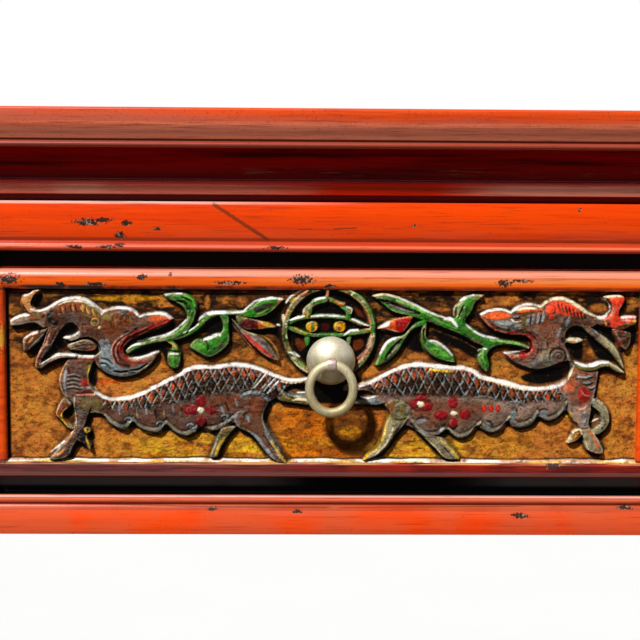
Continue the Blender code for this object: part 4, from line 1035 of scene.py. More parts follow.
right_gold = smooth(250, 300, sheet_x) * smooth(420, 330, sheet_x) * smooth(395, 415, sheet_y)
lay(whole, 0.6 * smooth(0.42, 0.62, ground_patch) * (0.25 + 0.75 * low_gold), "gold")
lay(whole, 0.85 * right_gold, "honey")
lay(whole, 0.9 * low_gold * (1.0 - 0.7 * right_gold) * smooth(0.42, 0.56, patches(30, 51, 4)), "yellow")
lay(whole, 0.55 * smooth(0.50, 0.66, patches(18, 31, 8)), "rust")
# The upper ground is darkened, partly with smoke and partly as painted shade under the bead.
upper = smooth(378, 335, sheet_y)
lay(whole, 0.95 * upper * smooth(0.32, 0.54, patches(22, 41, 7)), "umber")
lay(whole, 0.97 * upper * smooth(0.47, 0.60, patches(16, 45, 5)), "soot")
# Painted shadow of the pull on the ground; the gold lit patch inside it is painted light through the ring.
patch(oval(*PAINTED_PULL_SHADOW), "umber", 0.78, 4.0)
for centre, half_x, half_y, colour in LIT_PATCHES:
    patch(oval(centre, half_x, half_y), colour, 0.8, 0.7 * min(half_x, half_y))
lay(whole, 0.5 * smooth(0.54, 0.68, patches(9, 21, 5)), "umber")
lay(whole, 0.5 * smooth(0.60, 0.72, patches(5, 23, 3.4)), "soot")
sunlit = (1.0 - 0.6 * upper) * (1.0 - 0.7 * right_gold)
lay(whole, 0.55 * sunlit * smooth(0.54, 0.68, patches(9, 25, 5)), "amber")
# Pools of painted shadow, black, between the motifs.
for points in PAINTED_SHADOW_POOLS:
    patch(points, "black", 1.0, 2.6)
# Painted shadow: black bands along the top edge, under the bead, and along the left edge, beside the stile.
lay(whole, smooth(294, 290, sheet_y), "black")
lay(whole, smooth(left_edge + 4.6, left_edge + 2.6, sheet_x), "black")
height += 0.0003 * (patches(5, 27, 2) - 0.5) + 0.0003 * (ground_patch - 0.5)
ledge_top = bottom_edge - LEDGE_TALL * (0.6 + 0.8 * mottle(16, 16, 35))
on_ledge = smooth(ledge_top - 0.6, ledge_top + 0.6, sheet_y)
height += on_ledge * LEDGE_RISE * np.clip((sheet_y - ledge_top) / LEDGE_TALL, 0.0, 1.0)
lay(whole, smooth(ledge_top - 2.4, ledge_top - 1.0, sheet_y) * 0.8, "soot")
# The ledge is painted white: worn pale paint with a painted highlight.
lay(whole, on_ledge, "white")
lay(whole, 0.8 * on_ledge * smooth(0.48, 0.62, patches(14, 29, 3)), "tan")
foot_line = smooth(bottom_edge - 1.8, bottom_edge - 0.8, sheet_y)
lay(whole, 0.9 * on_ledge * smooth(0.44, 0.56, patches(34, 37)) * foot_line, "yellow")
print("ground painted, with", len(PAINTED_SHADOW_POOLS), "dark pools")

# %% [markdown]
# ## The beasts' outlines
#
# Two beasts turn their heads towards the edges and their tails towards the pull.
# Each is built from simple outlines that lie over one another, the nearest last.

# %% Outlines of the beasts
LEFT_BEAST = {
    "torso": """
        62,366 70,356 86,355 96,356 92,367 89,377 92,387 101,395 114,399 128,398 142,392 156,385 170,377
        184,370 198,366 216,365 233,362 250,364 264,369 280,376 294,379 312,376 312,384 290,386 280,396
        268,404 264,414 250,426 234,424 224,430 212,432 200,428 194,435 183,437 172,432 165,426 160,433
        148,433 137,428 132,423 127,430 118,430 108,423 100,415 88,414 72,404 63,396 58,386 58,376
    """,
    "tail": "278,386 290,394 314,396 314,406 292,404 276,400",
    "front_leg": """
        70,396 74,412 74,426 66,436 56,449 48,460 58,461 69,457 74,447 81,436 86,424 90,412 92,400
    """,
    "tuft": "63,397 57,406 55,415 61,422 69,430 74,428 66,419 64,413 72,405",
    "spur": "78,431 86,426 92,431 88,436 92,445 90,452 83,445 76,440",
    "hind_leg": """
        238,402 247,392 258,392 269,400 264,412 264,422 270,434 278,446 287,462 281,466 268,458 257,444
        248,434 236,428 232,415
    """,
    "far_leg": "220,428 236,426 227,438 220,450 217,458 208,458 213,444",
    "head": """
        44,320 52,305 60,299 70,297 82,298 92,303 101,311 110,308 121,306 130,307 138,313 150,312 163,312
        172,320 162,328 146,334 131,341 124,349 127,356 137,358 148,355 159,351 155,360 146,369 134,376
        120,378 107,375 97,368 92,357 99,350 95,342 87,338 78,340 70,342 61,338 70,336 78,332 72,324 64,327
        56,337 46,330
    """,
    "mane_strand": "48,327 42,342 36,355 34,367 40,369 44,358 52,347 59,334 60,324",
    "neck_lock": "39,363 50,357 61,353 76,353 76,359 62,359 50,364 40,370",
    "mane_up": "30,315 23,307 20,301 22,296 28,294 33,290 40,290 34,298 32,304 36,309 44,314",
    "mane_back": "9,322 13,317 20,315 29,313 40,309 50,308 54,322 44,329 34,324 20,326 11,327",
    "lock": "66,345 74,341 84,338.5 92,341 97,348 90,352 76,351.5 68,350",
    "mane_low": "22,345 22,338 28,334 36,331 48,327 44,338 36,346 30,351 24,353",
}
RIGHT_BEAST = {
    "torso": """
        344,384 358,382 372,378 388,371 402,365 422,363 445,365 460,366 474,371 486,378 505,381 522,386
        538,387 553,384 566,377 571,369 568,360 578,362 588,366 599,369 598,382 595,398 591,412 588,426
        575,424 566,412 556,420 546,422 538,418 533,425 523,429 512,428 507,422 500,430 490,434 480,430
        476,427 468,437 458,440 450,435 446,431 436,437 424,438 413,430 400,424 386,410 378,400 366,392
        344,392
    """,
    "tail": "344,400 360,399 376,394 386,402 376,406 360,405 344,406",
    "hind_leg": """
        384,404 395,398 407,404 409,416 402,428 394,437 388,447 378,456 362,462 364,456 376,448 381,436
        384,424 388,414
    """,
    "far_leg": "412,428 428,434 441,437 452,448 460,460 444,460 434,450 423,440",
    "front_leg": "572,412 578,428 583,440 587,451 596,455 604,454 602,445 595,433 590,424 592,408 582,402",
    "tuft": "593,397 603,404 610,414 610,424 604,432 596,436 590,430 600,423 599,414 592,407",
    "spur": "566,444 571,436 570,432 577,428 584,432 581,438 574,443",
    "head": """
        601,322 591,312 580,304 568,298 556,297 546,301 539,306 530,302 518,304 510,310 500,308 489,310
        479,315 485,325 495,332 510,336 524,337 531,344 529,351 520,354 503,352 510,361 522,367 537,370
        552,367 566,362 574,364 570,352 566,344 574,345 583,341 574,338 567,338 568,331 576,327 588,330
    """,
    "mane_strand": "578,322 592,327 604,337 614,345 621,356 626,372 618,364 608,352 597,343 586,333",
    "neck_lock": "572,360 588,364 600,361 610,362 620,368 627,374 616,373 606,368 592,372 578,370",
    "mane_up": """
        592,319 598,317 605,318 611,312 611,305 605,297 614,295 624,296 626,302 621,310 621,316 630,315
        637,316 637,325 630,328 622,331 611,329 600,327
    """,
    "mane_low": "611,328 622,329 632,333 632,342 628,350 623,350 617,340",
}
print("outlines of the beasts:", len(LEFT_BEAST) + len(RIGHT_BEAST))

# %% [markdown]
# ## Branches and medallion
#
# Leafy branches fill the corners beside the medallion, and a ringed medallion with an eye-shaped fret
# sits behind the pull.

# %% Outlines of the branches and the medallion
LEFT_BRANCH = {
    "stem": """
        124,350 132,344 146,340 160,336 172,332 181,325 185,317 182,309 174,303 166,300 163,295 172,293
        184,293 193,298 197,306 196,317 191,327 198,322 206,315 218,311 232,310 244,310 254,303 264,298
        283,299 276,308 266,316 252,319 236,317 218,317 208,321 200,329 190,336 176,341 160,343 146,346
        134,351 127,355
    """,
    "bud": "160,340 170,346 166,353 166,363 171,369 178,368 181,357 178,348 171,338",
    "leaf": """
        217,314 228,314 229,330 229,343 219,353 208,358 196,353 188,347 194,339 205,338 219,332 221,324
    """,
    "spindle": "229,317 244,329 258,335 270,346 279,361 266,358 252,347 238,332",
    "red_bud": "234,315 248,317 262,321 276,327 264,330 246,331 237,325",
}
RIGHT_BRANCH = {
    "stem": """
        529,346 516,341 500,339 488,337 476,330 466,322 472,312 476,303 484,296 474,294 463,299 456,306
        455,316 446,319 434,313 418,306 400,298 384,293 371,296 380,304 392,313 408,317 420,321 440,328
        458,335 472,343 482,348 476,356 479,366 486,373 490,366 488,354 496,347 512,346 528,350
    """,
    "leaf_low": "424,318 410,326 402,334 388,340 380,350 373,366 384,364 396,354 404,342 412,331 426,325",
    "leaf": "421,322 420,340 426,352 438,360 455,363 451,352 440,344 427,338 427,323",
    "red_bud": "375,329 386,321 398,317 413,316 406,330 399,334 386,331",
}
MEDALLION_CENTRE = (328, 332)
MEDALLION_OUTER = 48
MEDALLION_INNER = 40.5
ROUNDELS = ((311, 327), (339, 327))
ROUNDEL_RADIUS = 6.5
FRET = {
    "eye_upper": """
        281,321 298,316 314,314 330,314 346,316 360,321 372,327 360,327 346,322 330,320 314,320 298,322
        284,328
    """,
    "eye_lower": """
        282,322 296,328 310,332 330,333 348,331 372,327 372,333 350,337 330,339 308,338 294,334 282,328
    """,
    "crest_left": """
        324,288 329,288 329,299 325,304 317,306 313,309 310,318 303,319 301,312 306,307 309,302 313,298
        320,297 324,295
    """,
    "crest_right": """
        326,296 332,298 337,301 344,302.5 346,306 352,309 352,314 349,321 344,320 344,314 339,309 335,306
        328,303
    """,
    "foot_left": "303,336 309,336 310,343 306,348 303,343",
    "foot_right": "345,337 351,336 350,345 346,347",
}
print("outlines of the foliage:", len(LEFT_BRANCH) + len(RIGHT_BRANCH) + len(FRET))

# %% [markdown]
# ## Fine lines and the medallion
#
# In the middle stands a round medallion: a ring round a fret and two roundels. Fine lines are written as
# rows of words and drawn one after another, so a later line lies over an earlier one.

# %% Carve and paint the medallion
MEDALLION_RISE = 0.0042
FRET_RISE = 0.0037
LINE_RISE = 0.0004
NICK = 0.0003
CUT_DEPTH = 0.0012


def relief():
    """The height of the carving so far, in millimetres."""
    return round(1000 * float(height.max()), 2)


def strokes(rows):
    """Draw one line for each row of words: its colour (or cut, for a groove painted black as shade), width
    and points.
    """
    for row in rows.strip().splitlines():
        colour, width, points = row.split(maxsplit=2)
        if colour == "cut":
            stroke(points, float(width), "black", -CUT_DEPTH)
        else:
            stroke(points, float(width), colour, LINE_RISE)


def around(centre, radius):
    """The part of the grid round a spot, and how far each of its points lies from the spot."""
    area = window(np.array(oval(centre, radius, radius)), 2)
    return area, np.hypot(sheet_x[area] - centre[0], sheet_y[area] - centre[1])


def ring_band(centre, outer, inner, rise, colour):
    area, reach = around(centre, outer)
    half = (outer - inner) / 2
    depth = np.clip(half - np.abs(reach - (outer + inner) / 2), 0.0, half)
    height[area] = np.maximum(height[area], rise * smooth(0.0, 1.6, depth))
    lay(area, smooth(0.0, 0.9, depth), colour)


def shadow_disc(centre, radius, colour, strength):
    area, reach = around(centre, radius)
    lay(area, strength * smooth(radius, radius - 5, reach), colour)


def carve_medallion():
    shadow_disc(MEDALLION_CENTRE, MEDALLION_INNER + 2, "black", 1.0)
    patch("288,316 296,307 304,303 300,312", "rust", 0.7)
    patch("352,306 362,312 367,320 356,316", "rust", 0.7)
    patch("320,323 328,323 328,331 320,331", "maroon", 0.5)
    patch("293,340 301,338 306,346 298,352", "rust", 0.7)
    patch("350,342 360,338 364,346 354,352", "rust", 0.6)
    ring_band(MEDALLION_CENTRE, MEDALLION_OUTER, MEDALLION_INNER, MEDALLION_RISE, "leaf")
    ring_band(MEDALLION_CENTRE, MEDALLION_INNER + 2.0, MEDALLION_INNER, MEDALLION_RISE, "orange")
    area, reach = around(MEDALLION_CENTRE, MEDALLION_OUTER)
    on_ring = smooth(MEDALLION_INNER - 1, MEDALLION_INNER, reach)
    on_ring = on_ring * smooth(MEDALLION_OUTER, MEDALLION_OUTER - 1, reach)
    for colour, seed in (("dark_green", 203), ("tan", 207), ("cream", 211), ("umber", 217)):
        lay(area, 0.8 * on_ring * smooth(0.54, 0.64, patches(7, seed)[area]), colour)
    for name in FRET:
        motif(FRET[name], FRET_RISE, "leaf")
    for centre in ROUNDELS:
        motif(oval(centre, ROUNDEL_RADIUS, ROUNDEL_RADIUS), FRET_RISE, "gold")
        stroke(oval(centre, ROUNDEL_RADIUS - 1, ROUNDEL_RADIUS - 1), 1.6, "yellow", LINE_RISE, 1.0)
    # White and cream lines along upper edges are worn pale paint with a painted highlight.
    strokes("""
    dark_green 3.0 284,346 281,334 280,326
    umber 5.0 285,348 281,338 281,320 284,306
    white 3.2 285,303 290,297 297,293 305,289.5
    yellow 2.2 289,302 294,298.5
    orange 2.2 298,296 305,293
    olive 2.6 308,287.5 320,286 334,286
    light_green 1.6 340,287 352,291 361,298 368,307 374,318
    tan 1.4 352,297 361,304 367,313 370,324
    dark_green 2.0 374,326 374,336
    pink 2.4 371,336 369,346 363,353 355,360
    white 3.0 288,352 292,353 298,357
    light_green 3.0 294,358 299,363 304,367
    orange 3.4 326,288 326,296
    white 2.8 324,298 317,299 311,302.5
    olive 3.0 318,304 311,306 306,312
    orange 1.6 303,311 305,314
    yellow 2.6 307,312 306.5,318
    cream 1.4 309,304 303,309.5 302,314
    tan 2.0 328,298 333,301 338,302.5
    orange 2.6 337,304.5 344,304
    white 1.4 345,307 351,309.5 350,314
    light_green 2.2 340,308 346,310 349,314
    white 3.0 286,321 295,318 303,316
    white 2.6 310,316.5 326,315.5 343,317
    dark_green 1.6 290,324.5 308,321.5 330,321 346,323
    white 2.2 351,319 360,323 369,327
    orange 1.6 353,323 362,327 369,330
    yellow 1.4 292,327 299,331 306,334
    white 2.4 343,335 349,331 357,330
    cream 4.0 282,316 283,321 285,326
    leaf 3.0 311,323 311,327 311,332
    rust 3.0 336,327 339,329
    """)


carve_medallion()
print("medallion up to", relief(), "mm")

# %% [markdown]
# ## Foliage
#
# The carver cut the foliage lower than the beasts. Its upper edges are white, worn pale paint with a painted
# highlight, the body is green, and slots painted black as shade part the leaves. On the left a spindle, a
# leaf and two buds grow from one stem.

# %% Carve and paint the left branch
FOLIAGE_RISE = 0.0046


def carve_left_branch():
    for name in ("spindle", "leaf", "bud", "red_bud", "stem"):
        motif(LEFT_BRANCH[name], FOLIAGE_RISE, "leaf")
    patch(LEFT_BRANCH["spindle"], "purple")
    patch(LEFT_BRANCH["red_bud"], "maroon")
    patch("257,320 266,321 276,327 264,330 257,329", "orange")
    patch("242,331 254,338 266,348 274,358 262,354 249,343", "scarlet", 0.75)
    patch("232,314 246,315 246,320 236,321", "olive")
    patch("251,308 262,303 273,302 268,310 256,314", "night", 0.95)
    patch("192,343 200,340 205,347 198,351 191,348", "light_green", 0.8)
    patch("168,354 177,354 176,366 171,366", "light_green", 0.7)
    # White and cream lines along upper edges are worn pale paint with a painted highlight.
    strokes("""
    cut 1.6 186,333 193,323 195.5,312 191,302 181,297.5
    cut 2.2 176,301 184,303 187,310
    cut 1.6 204,340 207,345 207,350
    cut 2.0 168,351 178,352
    dark_green 2.4 174,356 174,362 175,366
    dark_green 3.0 212,348 218,345 224,338
    dark_green 3.0 188,305 189,314 185,322
    dark_green 2.4 160,341 172,338 182,333
    orange 3.6 241,335 250,345 260,353.5 270,359 277,360.5
    red 1.6 240,332 248,341 258,350
    slate 2.0 250,337 260,344 269,353
    tan 2.0 259,335 268,341 275,350 278,359
    pink 1.2 228,321 234,328 241,336 250,347
    white 2.6 127,348 133,344.5 144,343.5
    white 2.4 136,342 150,338 164,335 172,331.5 179,326 185,320
    white 2.2 163,294.5 172,293.3 181,294
    light_green 2.2 183,295 191,300 194,307
    light_green 2.4 180,330 187,321 191,311
    white 1.6 183,332.5 190,329.5 197,324
    white 4.6 197,320.5 203,315.5 212,312.8 226,312.8 242,312
    white 2.8 242,311.5 248,306.5 254,302 262,299.3 272,298.2 281,299.5
    orange 2.2 279,300 276,306 270,312
    light_green 2.0 256,314 262,312 267,309
    white 4.2 203,339.5 210,337 217,334 219,335.5
    olive 1.4 190,349 199,355 208,357.5 218,352.5 226,344
    yellow 3.0 167,343 173,345 176,348.5
    white 2.0 168,353.8 172,353.4 177,353.8
    olive 1.6 167,357 168,364 172,369
    yellow 4.0 261,323 267,325 272,327
    white 2.6 276,325 278.5,325.8
    """)


carve_left_branch()
print("left branch up to", relief(), "mm")

# %% [markdown]
# ## The right branch
#
# The right branch has two leaves and a red bud. It is worked like the left one, at the same height.

# %% Carve and paint the right branch


def carve_right_branch():
    for name in ("leaf_low", "leaf", "red_bud", "stem"):
        motif(RIGHT_BRANCH[name], FOLIAGE_RISE, "leaf")
    patch(RIGHT_BRANCH["red_bud"], "orange")
    patch("394,318 412,317 405,330 396,333", "red")
    patch("376,328 386,321 390,321 387,327", "white")
    patch("428,346 440,348 450,357 442,358 430,352", "light_green", 0.8)
    # White and cream lines along upper edges are worn pale paint with a painted highlight.
    strokes("""
    cut 4.4 378,300.5 390,304 404,309.5 418,313.5
    cut 3.6 385,357 392,348 400,340
    cut 1.4 442,332 460,338 476,347
    cut 1.6 458,318 460,312 463,306
    cut 2.0 423,329 423,336 425,342
    slate 1.2 388,304.5 400,309 412,312.5
    dark_green 2.4 380,299 392,301 404,305.5
    dark_green 2.6 424,318 432,322 440,325
    dark_green 2.4 462,333 470,338 480,342
    dark_green 2.6 466,306 464,314 462,322
    dark_green 2.4 380,362 388,356 396,346
    dark_green 2.2 482,354 484,362 487,369
    light_green 2.4 396,300.5 410,306 424,313 440,322 456,329
    light_green 2.0 384,307.5 396,313 410,316.5
    light_green 2.4 490,340.5 505,342 520,345
    cream 2.0 372,296 384,294.6 398,298
    white 2.0 398,298 412,304 428,312 444,318
    white 4.6 444,319 450,319 453,322 456,326
    cream 2.0 453.5,316 454.5,308 460,301.5
    white 3.0 460,301 466,297 473,295
    pink 2.4 477,296 484,295.5
    olive 2.6 472,299 478,300 482,297
    white 2.2 465,324 472,330 482,335.5 498,339
    white 2.2 428,340.8 436,342 445,348 452,355.5
    cream 1.6 422,329 423.5,326.5 425,329
    light_green 1.6 421,336 422,346 428,354 440,360 453,361.5
    white 2.4 398,336.5 388,341 383,346.5 379,354
    light_green 2.0 380,354 376,364
    light_green 2.6 482,349 482,357 485,364
    white 2.0 478,351 482,348.5 486,349
    pink 2.2 380,330 388,331 396,332
    scarlet 2.2 398,318.5 406,317.8 412,318
    """)


carve_right_branch()
print("foliage up to", relief(), "mm")

# %% [markdown]
# ## Scales, scallops and flowers
#
# A beast's flank has a net of scales under its white spine, flowers in the middle, and a row of scalloped
# clouds along the belly. The net is two families of slanting lines measured down from the spine.

# %% Tools for the flanks
SCALE_PITCH = 9.0
SCALE_SLANT = 0.52


def flank(torso, spine, lower):
    """Paint the scale net of one beast between its spine and a lower line, both given from left to right."""
    line = curve(torso, True)
    area = window(line, 2)
    depth = np.where(inside(line, area), near(line, area)[0], 0.0)
    x = sheet_x[area]
    below = sheet_y[area] - np.interp(x, *np.array(spine, float).T)
    room = np.interp(x, *np.array(lower, float).T) - np.interp(x, *np.array(spine, float).T)
    along_spine = smooth(spine[0][0], spine[0][0] + 10, x) * smooth(spine[-1][0], spine[-1][0] - 10, x)
    band = smooth(0.0, 1.5, depth) * smooth(1.0, 3.0, below) * smooth(room + 2, room - 4, below) * along_spine
    x = x + 4.0 * (mottle(11, 11, 67)[area] - 0.5)
    leaning = [(x + slant * below) / SCALE_PITCH for slant in (SCALE_SLANT, -SCALE_SLANT)]
    rank = np.floor(leaning[0]) - np.floor(leaning[1])
    lay(area, band, "umber")
    lay(area, band * 0.95 * (rank == 0), "orange")
    lay(area, band * 0.5 * (rank == 1) * smooth(0.44, 0.54, patches(9, 69)[area]), "orange")
    lay(area, band * 0.6 * (rank >= 2), "soot")
    lay(area, 0.6 * band * smooth(0.48, 0.62, patches(7, 61)[area]), "soot")
    worn = 0.15 + 0.85 * smooth(0.38, 0.56, patches(5, 65)[area])
    for place in leaning:
        off = np.abs(place - np.round(place)) * SCALE_PITCH
        dark = np.abs(place + 0.17 - np.round(place + 0.17)) * SCALE_PITCH
        # Beside each raised line runs a black line of painted shade.
        lay(area, band * smooth(2.3, 0.9, dark), "black")
        lay(area, 0.85 * worn * band * smooth(1.0, 0.3, off), "slate")
        height[area] += 0.0004 * band * smooth(1.4, 0.2, off) - 0.0004 * band * smooth(1.6, 0.3, dark)


def scallop(points):
    """One cloud edge: a shadow above, a broad pale raised rim, and a brighter line along its middle."""
    stroke([(x, y - 6.4) for x, y in points], 2.2, "soot", -NICK, 0.5, 0.8)
    stroke([(x, y - 2.8) for x, y in points], 5.4, "bone", 0.0007, 0.5, 0.75)
    stroke([(x, y - 3.0) for x, y in points], 2.4, "slate", 0.0004)


def curl(centre, radius):
    """A small volute: a dark groove with a pale line inside it."""
    stroke(spiral(centre, radius + 1.2, 1.0, 200), 1.6, "soot", -NICK, 0.6)
    stroke(spiral(centre, radius, 1.0, 200), 2.0, "blue_grey", 0.0005, 0.6)


def flower(centre, petals, core):
    for place, half_x, half_y in petals:
        motif(oval(place, half_x + 0.6, half_y + 0.6), 0.0054, "crimson", 1.2, 4.0, 0.9)
        # A red line at each petal's upper left is a painted highlight, and the core's white line is one too.
        stroke(oval(place, half_x * 0.6, half_y * 0.6)[6:10], 1.4, "red", 0.0003)
        stroke(oval(place, half_x * 0.9, half_y * 0.9)[0:5], 1.4, "maroon", 0.0)
    motif(oval(centre, *core), 0.0057, "cream", 1.0, 2.0, 0.95)
    stroke(oval(centre, *core)[6:9], 1.6, "white", 0.0003)


def disc(centre, radius, colour, rise=0.0004):
    area, reach = around(centre, radius)
    lay(area, smooth(radius + 0.4, radius - 0.6, reach), colour)
    height[area] += rise * np.sqrt(np.clip(1.0 - (reach / radius) ** 2, 0.0, 1.0))


def hair(roots, way, width, colours):
    """A row of short strokes from a line of roots, each in the next of a few colours."""
    for i, (x, y) in enumerate(roots):
        stroke([(x, y), (x + way[0] * 0.4, y + way[1] * 0.5), (x + way[0], y + way[1])], width,
               colours[i % len(colours)], LINE_RISE, 0.3)


print("scales every", SCALE_PITCH, "pixels")

# %% [markdown]
# ## The left beast
#
# From the back to the front: the far leg, the tail, the flank, the near legs, the mane, and the head last.

# %% Carve and paint the left flank
BEAST_RISE = 0.0050
LIMB_RISE = 0.0053
HEAD_RISE = 0.0053
LEFT_SPINE = spots("""
    96,393 103,397 112,399 122,398.5 132,396.5 142,393 152,388 162,383 170,379 177,376 183,371.5 190,368.5
    198,367 215,367 233,364.5 250,366.5 262,370.5 275,376 290,380 312,378
""")
LEFT_NET_EDGE = spots("96,410 110,410 150,409 180,402 210,394 240,392 270,398 312,392")
LEFT_SCALLOPS = (
    spots("105,418 112,426 122,430 130,426 132,422"),
    spots("134,424 140,430 150,433 160,432 165,425"),
    spots("167,426 174,433 183,437 193,433 197,428"),
    spots("197,427 205,432 215,431 228,424 232,420"),
)


def left_flank():
    motif(LEFT_BEAST["far_leg"], BEAST_RISE, "olive")
    motif(LEFT_BEAST["tail"], BEAST_RISE, "olive")
    motif(LEFT_BEAST["torso"], BEAST_RISE, "purple", 1.7, 16.0, 0.62)
    patch(LEFT_BEAST["torso"], "brown", 0.7, 6.0)
    flank(LEFT_BEAST["torso"], LEFT_SPINE, LEFT_NET_EDGE)
    patch("214,394 236,393 240,402 226,406 212,404", "rust", 0.7, 4.0)
    patch("140,424 156,424 158,430 146,430", "pink", 0.35, 3.0)
    for points in LEFT_SCALLOPS:
        scallop(points)
    for centre in ((128, 421), (160, 425), (190, 427), (224, 418)):
        curl(centre, 4.2)
    hair(spots("219,402 224,400 229,399 234,398 238,399"), (5, 13), 2.0, ("slate", "black", "rust"))
    hair([(118 + 9 * i, 405 + 2 * (i % 3)) for i in range(8)], (1, 9), 2.0, ("slate", "soot", "bone"))
    petals = (((200, 400.5), 5.6, 5.8), ((190.5, 410), 8, 5), ((210, 409.5), 5.6, 5), ((200, 420.5), 5.6, 6))
    flower((200.3, 410), petals, (3.4, 3.6))
    strokes("""
    black 1.8 250,388 258,378 264,371
    white 1.7 252,388 260,379 266,372
    black 1.8 260,391 268,382 273,376
    white 1.8 262,391 270,382 275,377
    white 1.6 266,393 272,386 277,381
    grey 1.4 276,383 281,392 288,399
    black 2.4 279,382 285,392 293,398
    """)
    # The white spine and the white and cream lines along upper edges are worn pale paint with a painted
    # highlight.
    stroke(LEFT_SPINE, 5.6, "white", LINE_RISE)
    strokes("""
    cream 1.6 280,381 290,383 304,381
    grey 2.6 217,433 214,444 210,456
    yellow 5.0 223,438 219,446 215.5,455
    black 1.8 229,434 223,444 219,455
    tan 1.8 235,429 229,436 224,443
    blue_grey 2.2 282,386 291,394 310,396
    white 1.8 296,393 310,393
    cream 3.0 292,400 300,398.5 312,402
    yellow 1.8 105,420 112,425.5
    yellow 1.8 118,430 127,430
    yellow 1.8 137,431 148,433.5 160,432.5
    yellow 1.8 184,436 195,431
    """)


left_flank()
print("left flank up to", relief(), "mm")

# %% [markdown]
# ## The left beast's legs
#
# The near legs stand a little higher than the flank, so that their edges show. Short strokes draw their
# joints and hooves.

# %% Carve and paint the left legs


def left_legs():
    motif(LEFT_BEAST["hind_leg"], LIMB_RISE, "brown")
    patch("246,398 256,395 265,400 262,412 252,417 246,410", "rust", 0.7, 5.0)
    motif(LEFT_BEAST["front_leg"], LIMB_RISE, "purple")
    motif(LEFT_BEAST["tuft"], LIMB_RISE, "rust")
    motif(LEFT_BEAST["spur"], LIMB_RISE, "night")
    patch("78,397 90,396 102,400 104,405 101,411 88,412 78,410", "olive", 0.6)
    patch("60,446 72,444 71,456 58,458", "night", 0.55)
    disc((67.5, 413), 4.4, "black", -0.0006)
    # White and cream lines along upper edges are worn pale paint with a painted highlight.
    strokes("""
    black 1.8 241,391 248,388.5 256,389 263,391.5 270,398
    blue_grey 4.0 240,396 247,392 256,392 264,396 272,404
    slate 4.4 268,405 264.5,412 263.5,420 266,430
    purple 6.0 238,427 234.5,420 238,413 244,412
    slate 2.4 236,426 233.5,419 237,412.5 243,411
    rust 4.0 240,416 243,422 248,427
    blue_grey 2.2 245,415 247,418 248,421
    black 1.6 238,426 242,418 241,412
    olive 3.4 238,428 245,430.5 252,434
    slate 5.0 264,424 267,436 276,452 282,460
    blue_grey 4.4 248,432 256,438 263,447 273,459
    black 1.6 262,432 268,442 275,452
    yellow 2.6 270,441 275,449 280,457 285,464
    slate 1.8 268,431 274,440 281,450
    cream 2.4 74.5,397 74.5,410 75,422 72,430
    tan 2.0 73,430 69,438 64,444
    white 2.4 64,441 57,447 50,453
    tan 2.6 52,456 59,454 64,449
    grey 1.4 87,414 94,411.5 100,414
    pink 2.0 62,400 58,406 56,412
    yellow 1.8 55,413 58,418 64,424 69,430
    yellow 2.2 66,408 61.5,415 63,421 68,427
    yellow 1.8 84,426 86,432 90,430
    yellow 1.6 88,434 86,438 88,444 90,451
    grey 1.6 77,439 83,445 88,450
    """)


left_legs()
print("left legs up to", relief(), "mm")

# %% [markdown]
# ## The left beast's chest and mane
#
# The chest is paint on the flank. In the mane each lock is a motif of its own, with hairs drawn along it.

# %% Carve and paint the left chest and mane


def left_chest():
    patch("84,362 92,361 92,376 88,383 84,374", "olive")
    strokes("""
    tan 2.6 66,361 61,370 58.7,380 60,388
    cream 1.6 60,388 64,396 73,407
    slate 2.0 67,364 64.5,375 64,385 66,396
    red 1.8 71,358 82,358 93,358.5
    rust 2.6 74,361 84,361 92,362
    maroon 4.0 67,366 69,371 72,373
    yellow 2.0 90,364 88,372 88,380
    grey 2.0 76,387.5 86,387.5 93,388
    maroon 3.4 76,391.5 86,391 94,391.5
    pink 1.4 76,394.8 86,394.2 95,394.8
    black 1.4 75,396 75,408 77,420
    """)
    for row in (375, 379, 383, 387):
        stroke([(67, row), (74, row - 1), (80, row + 1)], 1.4, "grey", LINE_RISE)
        stroke([(67, row + 2), (74, row + 1), (80, row + 3)], 1.3, "black", -NICK)
    disc((84.5, 382.5), 4.0, "red")
    stroke("94,388 95,391 94,394", 2.2, "cream", LINE_RISE)


def left_mane():
    for name, colour in (("mane_low", "umber"), ("mane_strand", "maroon"), ("neck_lock", "purple"),
                         ("mane_up", "tan"), ("mane_back", "dusty")):
        motif(LEFT_BEAST[name], LIMB_RISE, colour)
    motif(LEFT_BEAST["lock"], FOLIAGE_RISE, "brown")
    patch("27,313 40,310 46,316 40,321 28,320", "rust", 0.8)
    patch("12,320 24,318 36,318 44,322 34,324 18,324", "dusty", 0.7)
    # White and cream lines along upper edges are worn pale paint with a painted highlight.
    strokes("""
    rust 2.6 30,319 38,318 44,314
    olive 3.0 31,312 37,315 42,320
    slate 2.6 13,324.5 22,325 31,324
    slate 1.6 67,345 75,341.5 84,340
    black 1.4 70,347 80,344 92,344
    grey 1.2 70,349 80,347 90,347
    orange 2.2 86,350.5 95,349.5
    pink 2.2 10,324 14,324
    night 2.2 55,330 50,341 44,353 39,364
    pink 1.8 51,330 48,337 46,343 40,351 37,358
    pink 2.2 45,344 50,345
    tan 2.2 37,357 35.5,363 36,368
    slate 1.4 61,327 56,335 51,344
    pink 3.0 23,350 23,343 26,337.5 31,334 37,332
    white 1.6 26,337 31,333.5 36,331.8
    tan 2.4 29,342 33,337
    slate 1.2 29,348 36,341 43,334
    white 3.8 10,321 15,318 22,315.3 28,315
    tan 2.4 24,311 20.5,303 21.5,297
    pink 2.2 22,296 27,295 32,291 39,290.5
    white 2.0 23,295.5 28,294.5 33,290.6
    night 1.4 33,295 31,301 31,307
    white 3.6 40,363.5 48,358.5 55,355 64,353.8 75,355 94,355.8 97,353
    pink 1.2 48,361.5 56,358 64,356.5
    pink 1.2 76,357.2 86,357.8 94,357.8
    """)


left_chest()
left_mane()
print("left mane up to", relief(), "mm")

